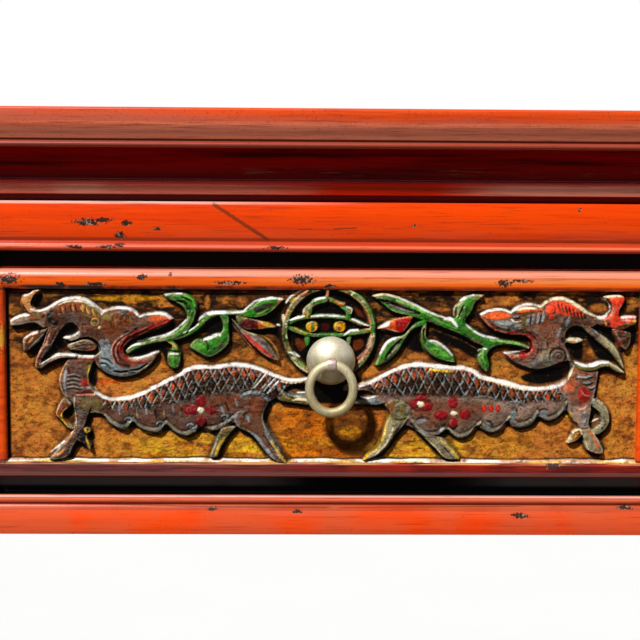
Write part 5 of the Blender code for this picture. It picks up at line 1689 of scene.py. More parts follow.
# %% [markdown]
# ## The left beast's head
#
# The head comes last because it lies over the mane. It is one swelling shape, and its features are paint,
# fine lines and shallow cuts.

# %% Carve and paint the left head


def left_head():
    motif(LEFT_BEAST["head"], HEAD_RISE, "brown", 1.7, 12.0, 0.72)
    patch("97,342 108,338 112,350 116,362 128,367 150,360 140,373 122,377 102,370",
          "slate", 0.95, 2.0)
    patch("98,357 108,358 116,366 128,369 126,375 110,373 100,367", "blue_grey", 0.9)
    patch("108,314 130,311 138,317 134,328 114,330 104,322", "umber", 0.7)
    patch("101,315 112,313 112,319 102,321", "olive")
    patch("56,304 70,299 86,302 84,311 70,309 58,312", "rust", 0.8, 3.0)
    patch("80,303 92,305 99,313 97,320 86,317 80,310", "olive", 0.95, 3.0)
    patch("100,320 118,313 136,317 134,330 118,338 102,338", "rust", 0.6, 6.0)
    patch("148,316 166,315 170,319 158,322 148,322", "orange", 0.9)
    patch("46,312 56,308 60,318 56,326 47,322", "night")
    patch("63,314 74,312 78,320 70,324 64,323", "purple")
    roots = [(57 + 2.5 * i, 303.5 + 0.018 * (i - 7) ** 2 * 6) for i in range(15)]
    hair(roots, (1.5, 7), 1.2, ("rust", "black", "tan", "black"))
    hair([(80 + 3 * i, 306 + i) for i in range(5)], (3, 6), 1.1, ("amber", "rust"))
    hair([(104 + 5 * i, 318 - 0.5 * i) for i in range(6)], (2, 9), 1.1, ("rust", "soot", "olive"))
    hair([(84 + 6 * i, 327 + i % 2 * 6) for i in range(5)], (2, 6), 1.5, ("rust", "soot"))
    # White and cream lines along upper edges are worn pale paint with a painted highlight.
    strokes("""
    cut 1.8 114,371 120,372 127,371
    cut 1.2 101,358 108,360 112,364
    cut 1.2 100,363 106,364 110,369
    cut 1.0 130,370 138,369 146,364
    soot 9.0 134,330 124,336 118,343 116,351 119,359 127,364
    maroon 2.6 131,331 121,337 114.5,344 113,352 116,360 124,365
    maroon 2.6 134,333 125,338 118.5,345 117,352 120,359 127,363.5
    pink 0.9 129,331.5 119,337 112.5,344 111,352 114,361
    pink 0.9 130,333.6 122,338.5 116.5,345 115,352 118,360
    dusty 0.9 148,326 136,331.5 126,336.6 120.3,344 119,351 122,358
    red 5.6 170,319.5 158,324 146,328.6 134,333.8 126.5,339 122,345 121.5,351 125,357 131,360.3 140,361 \
        148,359.5
    scarlet 2.0 168,321 158,325.5 148,329
    maroon 1.4 152,325.4 140,330.6 131,335
    dusty 1.0 166,325.6 152,331 140,335.6 131,341
    white 2.8 129,357 137,358 146,355.6 152,353.2 157,351.8
    yellow 2.2 125,353.5 129,357
    olive 2.0 155,355 151,362 144,369
    white 3.8 31,309 38,311 44,309.5 50,306.5 57,302.3 63,299.4 70,298.2 78,298.2 85,300 91,303.7 97,308 \
        101,311
    cream 1.8 58,304.8 66,301.6 76,300.8 85,302.6 93,307
    white 3.8 101,314 104,310.5 112,308.5 121,308 128,308.7 133,311 137,315
    orange 2.2 129,311.6 132,313
    white 3.8 139,316.5 144,314.6 152,313.6 160,313.4 166,315 171,319
    pink 1.8 160,315.6 166,317 170,319
    white 3.0 62,337.6 68,337 74,335 78,331.8
    slate 1.6 70,340 76,339 79,335
    slate 1.3 56,337 60,330 66,325 71,323 75,324.5 79,330
    slate 1.8 79,340 84,337.5 90,338 95,342 98,349 97,354
    rust 2.6 102,327 108,327.5
    """)
    disc((94.5, 321.5), 5.4, "soot", 0.0)
    disc((94.5, 321.5), 4.6, "tan", 0.0007)
    disc((94.5, 321.5), 3.4, "olive", 0.0)
    disc((96, 321.3), 1.4, "night", -NICK)
    disc((99, 327), 1.5, "cream")


left_head()
print("left beast up to", relief(), "mm")

# %% [markdown]
# ## The right beast
#
# It mirrors the left one only roughly: its head is shorter, its mane redder and its flank paler.

# %% Carve and paint the right flank
RIGHT_SPINE = spots("""
    359,386 370,382 380,377 392,371 404,366.5 420,364.5 445,367 460,367.5 472,371 481,377 490,379.5
    505,382.5 520,387 535,389 548,388 560,385 567,380
""")
RIGHT_NET_EDGE = spots("359,392 400,396 480,397 520,404 567,400")
RIGHT_SCALLOPS = (
    spots("412,424 416,431 425,437 436,437 445,431"),
    spots("448,432 455,438 462,439 472,434 480,425"),
    spots("480,426 486,432 492,434 502,430 508,421"),
    spots("510,420 515,427 522,428 532,423 537,415"),
    spots("537,414 541,420 549,422 558,418 563,411 566,405"),
)
RIGHT_WAVES = (
    ((420, 421), 7.0, 2.4, -15), ((441, 430), 3.0, 3.4, 0), ((486, 427), 4.4, 5.0, 20),
    ((512, 416), 3.0, 8.4, 10), ((543, 414), 5.0, 4.0, -20),
)


def right_flank():
    motif(RIGHT_BEAST["far_leg"], BEAST_RISE, "bone")
    motif(RIGHT_BEAST["tail"], BEAST_RISE, "slate")
    motif(RIGHT_BEAST["torso"], BEAST_RISE, "dusty", 1.7, 16.0, 0.62)
    patch("386,392 420,394 470,396 500,404 478,424 440,434 412,424", "brown", 0.7, 8.0)
    patch("398,396 440,397 488,402 478,418 440,430 414,420", "rust", 0.5, 8.0)
    flank(RIGHT_BEAST["torso"], RIGHT_SPINE, RIGHT_NET_EDGE)
    for points in RIGHT_SCALLOPS:
        scallop(points)
    for centre, half_x, half_y, lean in RIGHT_WAVES:
        patch(oval(centre, half_x, half_y, lean), "blue_grey", 0.8, 1.6)
        stroke(oval(centre, half_x + 1.2, half_y + 1.2, lean)[8:13], 1.6, "black", -NICK)
    petals = (((452, 402), 5, 6), ((440, 415), 7, 4.6), ((464, 414), 5.6, 5), ((452, 423), 4.6, 5.4))
    flower((453.5, 413), petals, (3.6, 2.6))
    patch(oval((420, 404), 11.5, 8), "maroon", 0.9, 1.6)
    flower((420, 404), (((413, 404), 4.4, 4.6), ((427, 406), 4.4, 4.6), ((420, 397.5), 6, 3.4)), (3.4, 3.4))
    for centre in ((483, 408), (490, 408), (497, 408)):
        motif(oval(centre, 2.8, 4.4), 0.0052, "red", 1.2, 4.0, 0.9)
        # A scarlet painted highlight on each drop.
        stroke([(centre[0] - 1, centre[1] - 3), (centre[0] + 0.5, centre[1] + 2)], 1.4, "scarlet", 0.0003)
    strokes("""
    slate 1.3 474,397 480,396 488,396.5 495,399
    slate 1.3 503,405 511,401 519,402 528,408
    white 1.6 360,397.5 367,398 374,396
    black 2.2 362,393 370,391 378,384
    """)
    # The white spine and the white and cream lines along upper edges are worn pale paint with a painted
    # highlight.
    stroke(RIGHT_SPINE, 6.6, "white", LINE_RISE)
    strokes("""
    cream 1.8 478,378 492,381.5 508,386 524,390
    yellow 2.6 429,369 439,370.5 452,371
    cream 1.4 424,438 433,446 442,456
    yellow 2.8 440,441 449,448 458,459
    black 1.4 438,443 446,450 452,458
    cut 1.8 410,424 418,433 428,443
    """)


right_flank()
print("right flank up to", relief(), "mm")

# %% [markdown]
# ## The right beast's legs
#
# Here too the near legs stand over the flank. The paint of the hind leg has worn pale.

# %% Carve and paint the right legs


def right_legs():
    motif(RIGHT_BEAST["hind_leg"], LIMB_RISE, "bone")
    patch("384,406 397,399 408,406 406,418 390,420", "olive", 0.9, 3.0)
    patch("386,402 394,400 396,408 390,416 386,412", "rust", 0.7, 2.0)
    motif(RIGHT_BEAST["front_leg"], LIMB_RISE, "dusty")
    patch("579,429 588,428 602,446 603,454 588,450", "bone", 0.8, 2.0)
    motif(RIGHT_BEAST["tuft"], LIMB_RISE, "bone")
    motif(RIGHT_BEAST["spur"], LIMB_RISE, "rust")
    # White and cream lines along upper edges are worn pale paint with a painted highlight.
    strokes("""
    rust 3.0 386,402 388,408 390,414
    cream 2.2 392,428 388,438 383,447 374,455
    yellow 3.0 387,416 384.5,426 382,437 376,447 368,454 362,461
    tan 1.6 384,420 382,432 379,441
    slate 1.6 393,411 395,405 401,403 406,407 406,413
    blue_grey 2.2 396,413 398,415.5
    black 1.4 392,417 398,419 405,417
    soot 2.0 399,424 393,433 388,442 378,452
    grey 1.8 400,427 405,422 408,416
    pink 2.2 576,408 582,409 586,406
    blue_grey 3.0 584,412 585,419 582,426
    black 1.6 579,427 583,427.6 587,427
    cream 2.0 580,429 584,440 588,450
    orange 3.0 588,430 594,439 599,448
    cream 1.4 593,432 599,442 603,451
    pink 2.2 588,450.5 596,453 602,454
    cream 2.0 597,399 604,405 609,413
    black 2.0 603,416 605,422 601,428
    grey 1.8 600,408 602,417 597,429
    white 2.4 591.5,422.5 595,421 598.5,419.5
    cream 1.8 567,443 571,436 574,431 579,429
    gold 3.2 574,437 577,433
    cream 1.4 570,443 575,441 580,439
    """)
    disc((568.5, 415), 3.6, "yellow")
    stroke("566,412 568,414 569,418", 1.2, "rust", 0.0)


right_legs()
print("right legs up to", relief(), "mm")

# %% [markdown]
# ## The right beast's chest and mane
#
# The chest is rust and orange, and a scarlet lock stands up behind the head.

# %% Carve and paint the right chest and mane


def right_chest():
    patch("564,372 598,370 597,390 590,406 574,408 564,394", "rust", 0.75, 6.0)
    patch("570,366 586,366 590,372 576,374", "rust", 0.8)
    patch("563,382 572,377 579,382 574,391 564,393", "orange", 0.4, 5.0)
    patch("577,389 585,386 591,393 588,401 579,403", "red", 0.9, 2.0)
    for row, first, last in ((376.5, 576, 592), (382, 583, 593), (387, 589, 595)):
        stroke([(first, row), ((first + last) / 2, row + 0.6), (last, row - 1)], 2.2, "blue_grey", LINE_RISE)
        stroke([(first, row + 2.2), ((first + last) / 2, row + 2.8), (last, row + 1)], 1.3, "black", -NICK)
    strokes("""
    slate 2.2 598,372 597,385 594,397 591,410
    cream 1.6 574,366 571,372 568,380
    pink 1.2 580,390 585,395 590,396
    black 2.0 566,404 566,411 562,417
    """)


def right_mane():
    for name, colour in (("mane_low", "umber"), ("mane_strand", "bone"), ("neck_lock", "olive"),
                         ("mane_up", "scarlet")):
        motif(RIGHT_BEAST[name], LIMB_RISE, colour)
    patch("592,319 608,319 610,327 600,328 590,324", "maroon", 0.9)
    patch("618,324 636,322 634,327 624,331 614,331", "brown", 0.95)
    patch("578,322 592,326 602,336 597,343 586,333", "purple", 0.95)
    hair([(594 + 3.4 * i, 319.5) for i in range(5)], (2, 6), 1.7, ("black", "amber"))
    # White and cream lines along upper edges are worn pale paint with a painted highlight.
    strokes("""
    cream 2.2 601,335 609,341 615,347.5 620,356 624,368
    olive 1.8 602,342 611,350 618,361
    slate 1.6 582,323.5 591,328 600,335
    black 1.8 588,332 598,341 608,350 617,362
    cream 1.8 605,297.5 614,296 623,296.5
    white 1.4 606,299 610,304 611,311
    red 1.8 624,300 621,308 619,316
    white 4.0 590,314 597,317.4 605,317 610,312
    white 3.4 622,317.4 630,317 637,317.4
    pink 2.4 622,320.4 630,320.4
    yellow 2.0 632,321 637,320.6
    olive 2.2 624,324 631,324 637,322
    white 4.2 575,362 583,365 592,365 600,362.3 609,362.3
    cream 1.8 609,362.3 616,366 624,372
    black 1.4 600,366 609,366 618,371
    red 2.6 613,330 618,339 624,349
    pink 1.0 612,331 617,340 623,350
    """)


right_chest()
right_mane()
print("right mane up to", relief(), "mm")

# %% [markdown]
# ## The right beast's head
#
# A shorter head than the left one, dust and rust over brown, with the features in fine lines.

# %% Carve and paint the right head


def right_head():
    motif(RIGHT_BEAST["head"], HEAD_RISE, "brown", 1.7, 12.0, 0.72)
    patch("530,326 560,324 568,344 560,362 536,364", "dusty", 0.55, 6.0)
    patch("536,318 556,320 564,330 556,344 542,346 534,332", "rust", 0.6, 6.0)
    patch("489,320 500,319 511,320 522,324 517,331 502,329", "grey")
    patch("481,315 490,311 504,311 511,316 500,320 488,320", "orange", 0.85, 2.0)
    patch("520,314 528,314 526,326 520,328", "olive", 0.8)
    patch("508,357 526,362 552,350 562,356 552,366 528,367", "grey", 0.75)
    patch("545,302 560,300 578,306 584,316 566,316 550,310", "scarlet", 0.95)
    hair([(557 + 3.8 * i, 302 + 1.5 * i) for i in range(8)], (2, 8), 1.8, ("black",))
    hair([(528 + 5 * i, 315.5 - i) for i in range(4)], (-2, 9), 2.8, ("blue_grey",))
    hair([(530.5 + 5 * i, 316 - i) for i in range(4)], (-2, 9), 1.6, ("black", "rust"))
    hair(spots("569,317 560,328"), (-3, 9), 3.4, ("blue_grey",))
    hair(spots("564,317 554,328"), (-4, 9), 1.6, ("soot",))
    hair([(540 + 6 * i, 334 + i % 2 * 5) for i in range(4)], (1, 8), 1.2, ("rust", "soot"))
    disc((549.5, 309.5), 5.6, "maroon", 0.0)
    disc((549.5, 309.5), 4.8, "scarlet", 0.0006)
    disc((551, 316.5), 2.6, "scarlet")
    disc((563, 340), 3.2, "night", -0.0004)
    patch("538,352 547,346 556,349 552,362 542,367", "bone", 0.6, 3.0)
    patch(oval((557.5, 356), 7.0, 6.0), "dusty", 0.95, 2.0)
    stroke("549,359 550,351.5 556,348 563,350 566,356 563,362", 2.2, "black", -0.0004)
    stroke(spiral((558.5, 356), 5.0, 1.1, 180), 1.4, "soot", -NICK, 0.7)
    # White and cream lines along upper edges are worn pale paint with a painted highlight.
    strokes("""
    maroon 2.6 515,330 528,332 536.5,340 537,351 530,360
    soot 1.2 520,328.5 532,331.5 540,340 540,352
    red 4.6 494,331 507,333 520,334.4 529,338 532.5,345 530,351 521,355.4 511,356.6 504,354
    pink 0.9 500,334.6 513,336 525,338.8 529.5,345 526,350
    scarlet 3.2 481,317 487,325 495,331
    white 3.0 480.5,314.4 488,311 497,309.6 505,310.4 510,313
    white 2.0 504,352.8 515,352.4 525,350
    night 1.6 491,323 498,327 508,329
    blue_grey 1.2 493,321 499,323.5 506,325
    orange 2.6 517,312 530,310 541,310
    cream 2.0 514,310.6 524,308 536,308.4
    white 3.2 511,312 517,307.4 525,304.8 534,304.8 540,306.6
    cream 3.2 541,306 547,301.5 555,299 563,299 572,302.6 580,308 588,313 595,316
    cream 4.2 568.5,339.4 575,340 582,341
    orange 1.8 569,342.6 576,343
    grey 1.8 504,355 512,362.4 525,367.4 540,369 555,366
    slate 1.6 566,352 569,360 573,366
    """)
    patch(oval((515.5, 317), 4.8, 3.0), "black")
    strokes("""
    blue_grey 1.4 513,316.6 517,316
    white 1.4 510,319 515,321.8 520,320.6
    """)


right_head()
print("right beast up to", relief(), "mm")

# %% [markdown]
# ## Age
#
# Dust and smoke lie in patches and cracks, and hands have rubbed upper edges pale. Shade is painted black
# into every hollow and under every edge, broad slopes are painted lighter where they face up and darker where
# they
# face down, and a painted highlight lies on the rubbed upper edges. All of it comes from the carving itself:
# from its slopes, and from comparing it with a blurred copy of itself.

# %% Painted shade in the hollows, grime, and wear with painted highlight on the ridges


def blurred(values, radius):
    """The mean over a square round each grid point, three times, which comes close to a soft blur."""
    size = 2 * radius + 1
    for axis in (0, 1, 0, 1, 0, 1):
        edge = [(0, 0), (0, 0)]
        edge[axis] = (radius + 1, radius)
        sums = np.cumsum(np.pad(values, edge, mode="edge"), axis=axis)
        if axis == 0:
            values = (sums[size:] - sums[:-size]) / size
        else:
            values = (sums[:, size:] - sums[:, :-size]) / size
    return values


uphill = np.gradient(height, CELL, axis=0)
rightward = np.gradient(height, CELL, axis=1)
lit_side = 0.5 * rightward - uphill
soft_height = blurred(height, 3)
shade_side = np.gradient(soft_height, CELL, axis=0) - 0.5 * np.gradient(soft_height, CELL, axis=1)
hollow = np.clip(blurred(height, 5) - height, 0.0, None)
wear_noise = patches(5, 71)
raised = smooth(0.0015, 0.0030, height)
clean = 1.0 - smooth(0.30, 0.55, paint.min(axis=2))
# Painted shade: black in the hollows round every motif, stronger on the side turned from the lamp.
painted_contact_shade = smooth(0.0004, 0.0014, hollow) * (0.70 + 0.30 * smooth(-0.2, 0.3, shade_side))
lay(whole, (0.3 + 0.7 * clean) * painted_contact_shade, "black")
vivid = smooth(0.10, 0.20, paint.max(axis=2) - paint.min(axis=2))
on_motif = clean * raised * (1.0 - 0.5 * vivid) * (0.3 + 0.6 * smooth(0.40, 0.58, patches(22, 191)))
ridge = np.clip(height - blurred(height, 2), 0.0, None)
lay(whole, 0.50 * on_motif * smooth(0.54, 0.66, patches(12, 111, 3)), "soot")
lay(whole, 0.50 * on_motif * smooth(0.54, 0.64, patches(7, 181, 2.6)), "rust")
lay(whole, 0.60 * on_motif * smooth(0.55, 0.63, patches(4, 161, 1.8)), "black")
lay(whole, 0.28 * on_motif * smooth(0.57, 0.65, patches(4, 171, 1.6)), "grey")
lay(whole, 0.5 * clean * smooth(0.00022, 0.0006, ridge) * smooth(0.40, 0.56, patches(5, 151)), "bone")
# Painted form shading: broad slopes that face down are painted darker, those that face up lighter.
broad = blurred(height, 9)
painted_form_shading = np.gradient(broad, CELL, axis=0) - 0.5 * np.gradient(broad, CELL, axis=1)
lay(whole, 0.4 * raised * (0.3 + 0.7 * clean) * smooth(0.08, 0.36, painted_form_shading), "black")
paint *= (1.0 + clean * raised * (0.10 + 0.35 * smooth(0.05, 0.30, -painted_form_shading)))[..., None]
# Painted shade: walls that face down and right are painted black.
lay(whole, smooth(0.5, 1.5, -lit_side) * smooth(0.0008, 0.0016, height), "black")
# Upper edges that face the lamp are rubbed pale: wear with a painted highlight.
rubbed = smooth(0.6, 1.8, lit_side) * smooth(0.0022, 0.0034, height) * smooth(0.4, 0.6, wear_noise)
lay(whole, 0.50 * rubbed, "cream")
cracks = np.abs(patches(16, 131, 9) - 0.5)
lay(whole, 0.6 * clean * smooth(0.014, 0.004, cracks), "soot")
lay(whole, 0.55 * clean * smooth(0.66, 0.78, patches(4, 141, 2.6)), "soot")
mottled = (0.3 + 0.7 * clean) * (0.55 + 0.45 * raised)
paint *= (1.0 + 1.2 * mottled * (patches(4, 81, 3.2) - 0.5))[..., None]
paint = np.clip(paint, 0.0, 1.0)
height += 0.00012 * (patches(3, 91) - 0.5)
height = np.clip(height, -0.0005, FIELD_DEPTH - 0.0002)
print("relief up to", relief(), "mm")

# %% [markdown]
# ## From the grid to a solid
#
# A grid mesh of the same number of points takes the heights, its rim is extruded back and closed.
# The field is made in three parts, side by side, so that no piece is too heavy.
# The paint is kept on the points, and the finish adds fine grain to it.

# %% Build the carved fields
FIELD_THICK = 0.004
FIELD_BACK_Y = GROUND_Y + FIELD_THICK
CARVED_SHARP = math.radians(80)
PART_COLUMNS = (COLUMNS - 1) // PARTS


def carved_finish():
    material, place = new_finish("carved_paint")
    colour = place.node("ShaderNodeVertexColor", {"layer_name": "paint"})
    fine = place.noise(900.0, 3.0)
    grain = place.noise(260.0, 4.0, 0.65)
    colour = (fine.step(0.55, 0.66) * 0.5).mix(colour, linear(30, 17, 10))
    colour = (grain.step(0.62, 0.72) * 0.05).mix(colour, linear(226, 190, 130))
    rough = 0.42 + grain * 0.25
    return close_finish(material, {"Base Color": colour, "Roughness": rough}, {"Specular IOR Level": 0.07},
                        (fine * 0.5 + grain, 0.6, 0.0007))


def select_where(piece, kind, test):
    """In edit mode, select the faces or edges that pass a test."""
    shape = bmesh.from_edit_mesh(piece.data)
    bpy.ops.mesh.select_mode(type=kind)
    for part in shape.verts[:] + shape.edges[:] + shape.faces[:]:
        part.select_set(False)
    for part in shape.faces if kind == "FACE" else shape.edges:
        if test(part):
            part.select_set(True)
    shape.select_flush_mode()
    bmesh.update_edit_mesh(piece.data)


def carved_part(name, first, last):
    columns = last - first + 1
    bpy.ops.object.select_all(action="DESELECT")
    bpy.ops.mesh.primitive_grid_add(x_subdivisions=columns - 1, y_subdivisions=ROWS - 1, size=1.0)
    piece = bpy.context.active_object
    piece.name = name
    x = np.linspace(FIELD_LEFT, FIELD_RIGHT, COLUMNS)[first:last + 1]
    z = np.linspace(FIELD_BOTTOM, FIELD_TOP, ROWS)
    places = np.zeros((ROWS, columns, 3))
    places[..., 0] = x[None, :]
    places[..., 1] = GROUND_Y - height[:, first:last + 1]
    places[..., 2] = z[:, None]
    piece.data.vertices.foreach_set("co", places.ravel())
    layer = piece.data.attributes.new("paint", "FLOAT_COLOR", "POINT")
    colours = np.ones((ROWS, columns, 4))
    colours[..., :3] = paint[:, first:last + 1]
    layer.data.foreach_set("color", colours.ravel())
    bpy.ops.object.mode_set(mode="EDIT")
    select_where(piece, "EDGE", lambda edge: edge.is_boundary)
    bpy.ops.mesh.extrude_region_move(TRANSFORM_OT_translate={"value": (0.0, FIELD_DEPTH, 0.0)})
    bpy.ops.transform.resize(value=(1.0, 0.0, 1.0), center_override=(0.0, FIELD_BACK_Y, 0.0))
    bpy.ops.mesh.edge_face_add()
    bpy.ops.object.mode_set(mode="OBJECT")
    pick_only(piece)
    bpy.ops.object.shade_smooth_by_angle(angle=CARVED_SHARP)
    return piece


def own_copy(piece, name, shift):
    """A copy with its own mesh, moved along x."""
    copy = bpy.data.objects.new(name, piece.data.copy())
    copy.data.transform(Matrix.Translation((shift, 0.0, 0.0)))
    bpy.context.scene.collection.objects.link(copy)
    return copy


carved_paint = carved_finish()
for part in range(PARTS):
    pattern = carved_part("carving_pattern", part * PART_COLUMNS, (part + 1) * PART_COLUMNS)
    for bay in BAYS:
        copy = own_copy(pattern, bay + "_carving_" + str(part + 1), BAY_SHIFT[bay])
        finish_piece(copy, bay + "_drawer", carved_paint, "carved_polychrome", bay + "_drawer_front")
    bpy.data.objects.remove(pattern)
print("carved fields done")

# %% [markdown]
# ## The frame round the carving
#
# The drawer front is one board: its edge is worked to a fat half-round bead and the middle is sunk.
# A cube at the board's size is stepped inward, face by face, along the bead's round, and then sunk.
# The tails of the drawer's sides are let into its ends, so that they show when the drawer is open.

# %% Model the drawer frame
BEAD_STEPS = 12
EDGE_SINK = 0.75
POCKET_ROOM = 0.0002
POCKET_Y = FIELD_BACK_Y + POCKET_ROOM
FRAME_EDGE = 0.0005
SOCKET_PAST = 0.0006


def bead_steps():
    """The bead's profile: how far in from the edge, as a share, and how far sunk from the crest."""
    steps = []
    for i in range(BEAD_STEPS + 1):
        turn = math.pi * i / BEAD_STEPS
        steps.append(((1 - math.cos(turn)) / 2, EDGE_SINK * (1 - math.sin(turn) ** 0.8)))
    return steps


def frame_rectangle(share):
    low_share = 1 - (1 - share) ** 1.4
    return (FRONT_LOW.x + share * STILE, FRONT_HIGH.x - share * STILE,
            FRONT_LOW.z + low_share * LOW_BEAD, FRONT_HIGH.z - share * TOP_BEAD)


def step_face(old, new, move):
    """Extrude the selected face to a new rectangle and push it along y."""
    bpy.ops.mesh.extrude_region_move(TRANSFORM_OT_translate={"value": (0.0, move, 0.0)})
    centre = ((old[0] + old[1]) / 2, 0.0, (old[2] + old[3]) / 2)
    scale = ((new[1] - new[0]) / (old[1] - old[0]), 1.0, (new[3] - new[2]) / (old[3] - old[2]))
    bpy.ops.transform.resize(value=scale, center_override=centre)
    shift = ((new[0] + new[1]) / 2 - centre[0], 0.0, (new[2] + new[3]) / 2 - centre[2])
    bpy.ops.transform.translate(value=shift)


def cut_sockets(piece, side, way):
    """Let a side's dovetails into the end of the front: the side is moved outward a little and cut away."""
    tool = merged_copy(side)
    tool.data.transform(Matrix.Translation((way * SOCKET_PAST, 0.0, 0.0)))
    cut_away(piece, tool)


def frame_pattern():
    start_y = FACE_Y + EDGE_SINK * FIELD_DEPTH
    bpy.ops.object.select_all(action="DESELECT")
    low = Vector((FRONT_LOW.x, start_y, FRONT_LOW.z))
    bpy.ops.mesh.primitive_cube_add(size=1.0, location=(low + FRONT_HIGH) / 2, scale=FRONT_HIGH - low)
    piece = bpy.context.active_object
    bpy.ops.object.transform_apply(location=True, rotation=True, scale=True)
    bpy.ops.object.mode_set(mode="EDIT")
    select_where(piece, "FACE", lambda face: face.normal.y < -0.9)
    rectangle = frame_rectangle(0.0)
    y = start_y
    for share, sink in bead_steps()[1:]:
        following = frame_rectangle(share)
        next_y = FACE_Y + sink * FIELD_DEPTH
        step_face(rectangle, following, next_y - y)
        rectangle = following
        y = next_y
    step_face(rectangle, rectangle, POCKET_Y - y)
    bpy.ops.object.mode_set(mode="OBJECT")
    bevel(piece, FRAME_EDGE)
    for hand, way in (("left", -1), ("right", 1)):
        cut_sockets(piece, "middle_drawer_" + hand + "_side", way)
    pick_only(piece)
    bpy.ops.object.shade_smooth_by_angle(angle=SHARP)
    return piece


print("steps round the bead:", len(bead_steps()))

# %% [markdown]
# ## The frame's finish
#
# The upper bead catches the light, painted a brighter orange with a pale sheen and a peach highlight. The
# lower one is painted dark red as shade, with a painted reflection on its left and a painted highlight near
# its foot, and flecks of gold are left where bead and carving meet.

# %% Finish and build the drawer frames


def drawer_frame_finish():
    """Orange above with a painted sheen, painted dark red shade below, and gold flecks where bead and carving
    meet.
    """
    coat = Coat("drawer_frame", "x", (236, 84, 10), (206, 62, 14))
    z = coat.place.part("Z")
    cloud = coat.place.noise(24.0, 4.0)
    top_middle = FRONT_HIGH.z - TOP_BEAD / 2
    leftward = coat.place.part("X").step(0.05, -0.10)
    # Painted light: the upper bead is painted a brighter orange than the stiles.
    vivid = z.between(top_middle - 0.0036, top_middle + 0.0020, 0.0008)
    coat.lay(vivid * (1 - leftward * 0.3), (254, 106, 16))
    # Painted highlight: a peach glint on the right of the upper bead, and a pale sheen along its top.
    painted_peach_highlight = z.between(top_middle - 0.0012, top_middle + 0.0020, 0.0010)
    coat.lay(painted_peach_highlight * (1 - leftward) * 0.4, (250, 178, 116))
    sheen = z.step(top_middle + 0.0018, top_middle + 0.0034)
    coat.lay(sheen * 0.6, (244, 178, 150))
    # Painted shade: the lower bead faces down and is painted dark red.
    is_low = z.step(FIELD_BOTTOM + 0.004, FIELD_BOTTOM)
    coat.lay(is_low, (100, 14, 8))
    coat.lay(is_low * cloud.step(0.44, 0.62) * 0.7, (146, 44, 24))
    coat.lay(is_low * (1 - leftward) * coat.cloud.step(0.40, 0.56) * 0.45, (170, 24, 12))
    # Painted reflection: purple-grey on the left of the lower bead.
    coat.lay(is_low * leftward * 0.5, (112, 70, 70))
    coat.lay(is_low * coat.lines.step(0.44, 0.60) * 0.6, (44, 8, 6))
    # Painted highlight: a pinkish band near the foot of the lower bead.
    coat.lay(z.between(FRONT_LOW.z + 0.0014, FRONT_LOW.z + 0.0042, 0.0006) * 0.6, (150, 104, 100))
    coat.lay(z.between(FRONT_LOW.z + 0.0014, FRONT_LOW.z + 0.0022, 0.0003) * 0.6, (224, 112, 92))
    coat.lay(z.step(FRONT_LOW.z + 0.0014, FRONT_LOW.z + 0.0008), (186, 40, 24))
    coat.lay(spot(coat.place, STILE_GOLD, FACE_Y) * 0.8, (230, 176, 60))
    stain = coat.place.noise(55.0, 4.0, 0.7).step(0.46, 0.56) * (0.3 + leftward * 0.7)
    coat.lay(z.between(FIELD_TOP - 0.0005, FIELD_TOP + 0.0028, 0.0008) * stain, (36, 18, 12))
    for mark in BEAD_CHIPS:
        coat.wear(spot(coat.place, mark, FACE_Y))
    rim = z.between(FIELD_BOTTOM - 0.0012, FIELD_BOTTOM + 0.0006, 0.0003)
    coat.lay(rim * coat.lines.step(0.42, 0.58) * 0.85, (226, 164, 88))
    return coat.close(0.24, (52, 28, 20), 0.06, 0.25)


BEAD_CHIPS = (
    (8, 279, 12, 5), (142, 277, 5, 3), (303, 280, 13, 5), (505, 283, 7, 4), (522, 281, 10, 2),
    (170, 274, 2, 2), (230, 283, 14, 2), (95, 284, 9, 2), (60, 284, 5, 2), (330, 286, 6, 2), (553, 466, 7, 4),
)
STILE_GOLD = (2, 337, 4, 13)
frame_finish = drawer_frame_finish()
pattern = frame_pattern()
for bay in BAYS:
    copy = own_copy(pattern, bay + "_frame", BAY_SHIFT[bay])
    finish_piece(copy, bay + "_drawer", frame_finish, "carved_polychrome", bay + "_drawer_front")
bpy.data.objects.remove(pattern)
print("drawer frames done")

# %% [markdown]
# ## The pulls
#
# A pull is a domed boss of pale brass, a strip of metal bent through it into an eye, and a ring in the eye.
# The metal is worn and brushed, and its lower part is painted dull as shade, so the finish changes with the
# height.

# %% Worn metals


def metal(name, bright, dull, rough, low_z):
    """Worn metal, painted dull below a height as shade."""
    material, place = new_finish(name)
    cloud = place.noise(70.0, 3.0)
    brushed = place.stretch((1400.0, 1400.0, 120.0)).noise(1.0, 3.0)
    fine = place.noise(1500.0, 2.0)
    # Painted shade: below the height the metal turns dull olive.
    painted_shade_below = place.part("Z").step(low_z + 0.012, low_z - 0.010)
    colour = (cloud.step(0.34, 0.70) * 0.4 + painted_shade_below * 0.6).mix(linear(*bright), linear(*dull))
    colour = (brushed.step(0.50, 0.70) * 0.35 + fine.step(0.62, 0.72) * 0.3).mix(colour, linear(104, 88, 54))
    gloss = rough + cloud * 0.16
    return close_finish(material, {"Base Color": colour, "Roughness": gloss}, {"Metallic": 0.5},
                        (brushed * 0.5 + fine * 0.3, 0.15, 0.0003))


PULL_LOW, PULL_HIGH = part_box("middle_drawer_pull_boss")
PULL_MIDDLE_Z = (PULL_LOW.z + PULL_HIGH.z) / 2
brass = metal("pale_brass_worn_painted_shade", (238, 232, 208), (140, 126, 76), 0.5, PULL_MIDDLE_Z)
ring_brass = metal("ring_brass_worn_painted_shade", (226, 214, 176), (166, 150, 104), 0.5, PULL_LOW.z)
copper = metal("strap_worn_painted_shade", (222, 200, 188), (178, 148, 132), 0.32, PULL_LOW.z)

print("worn metals, the boss dull below", round(1000 * PULL_MIDDLE_Z), "mm")

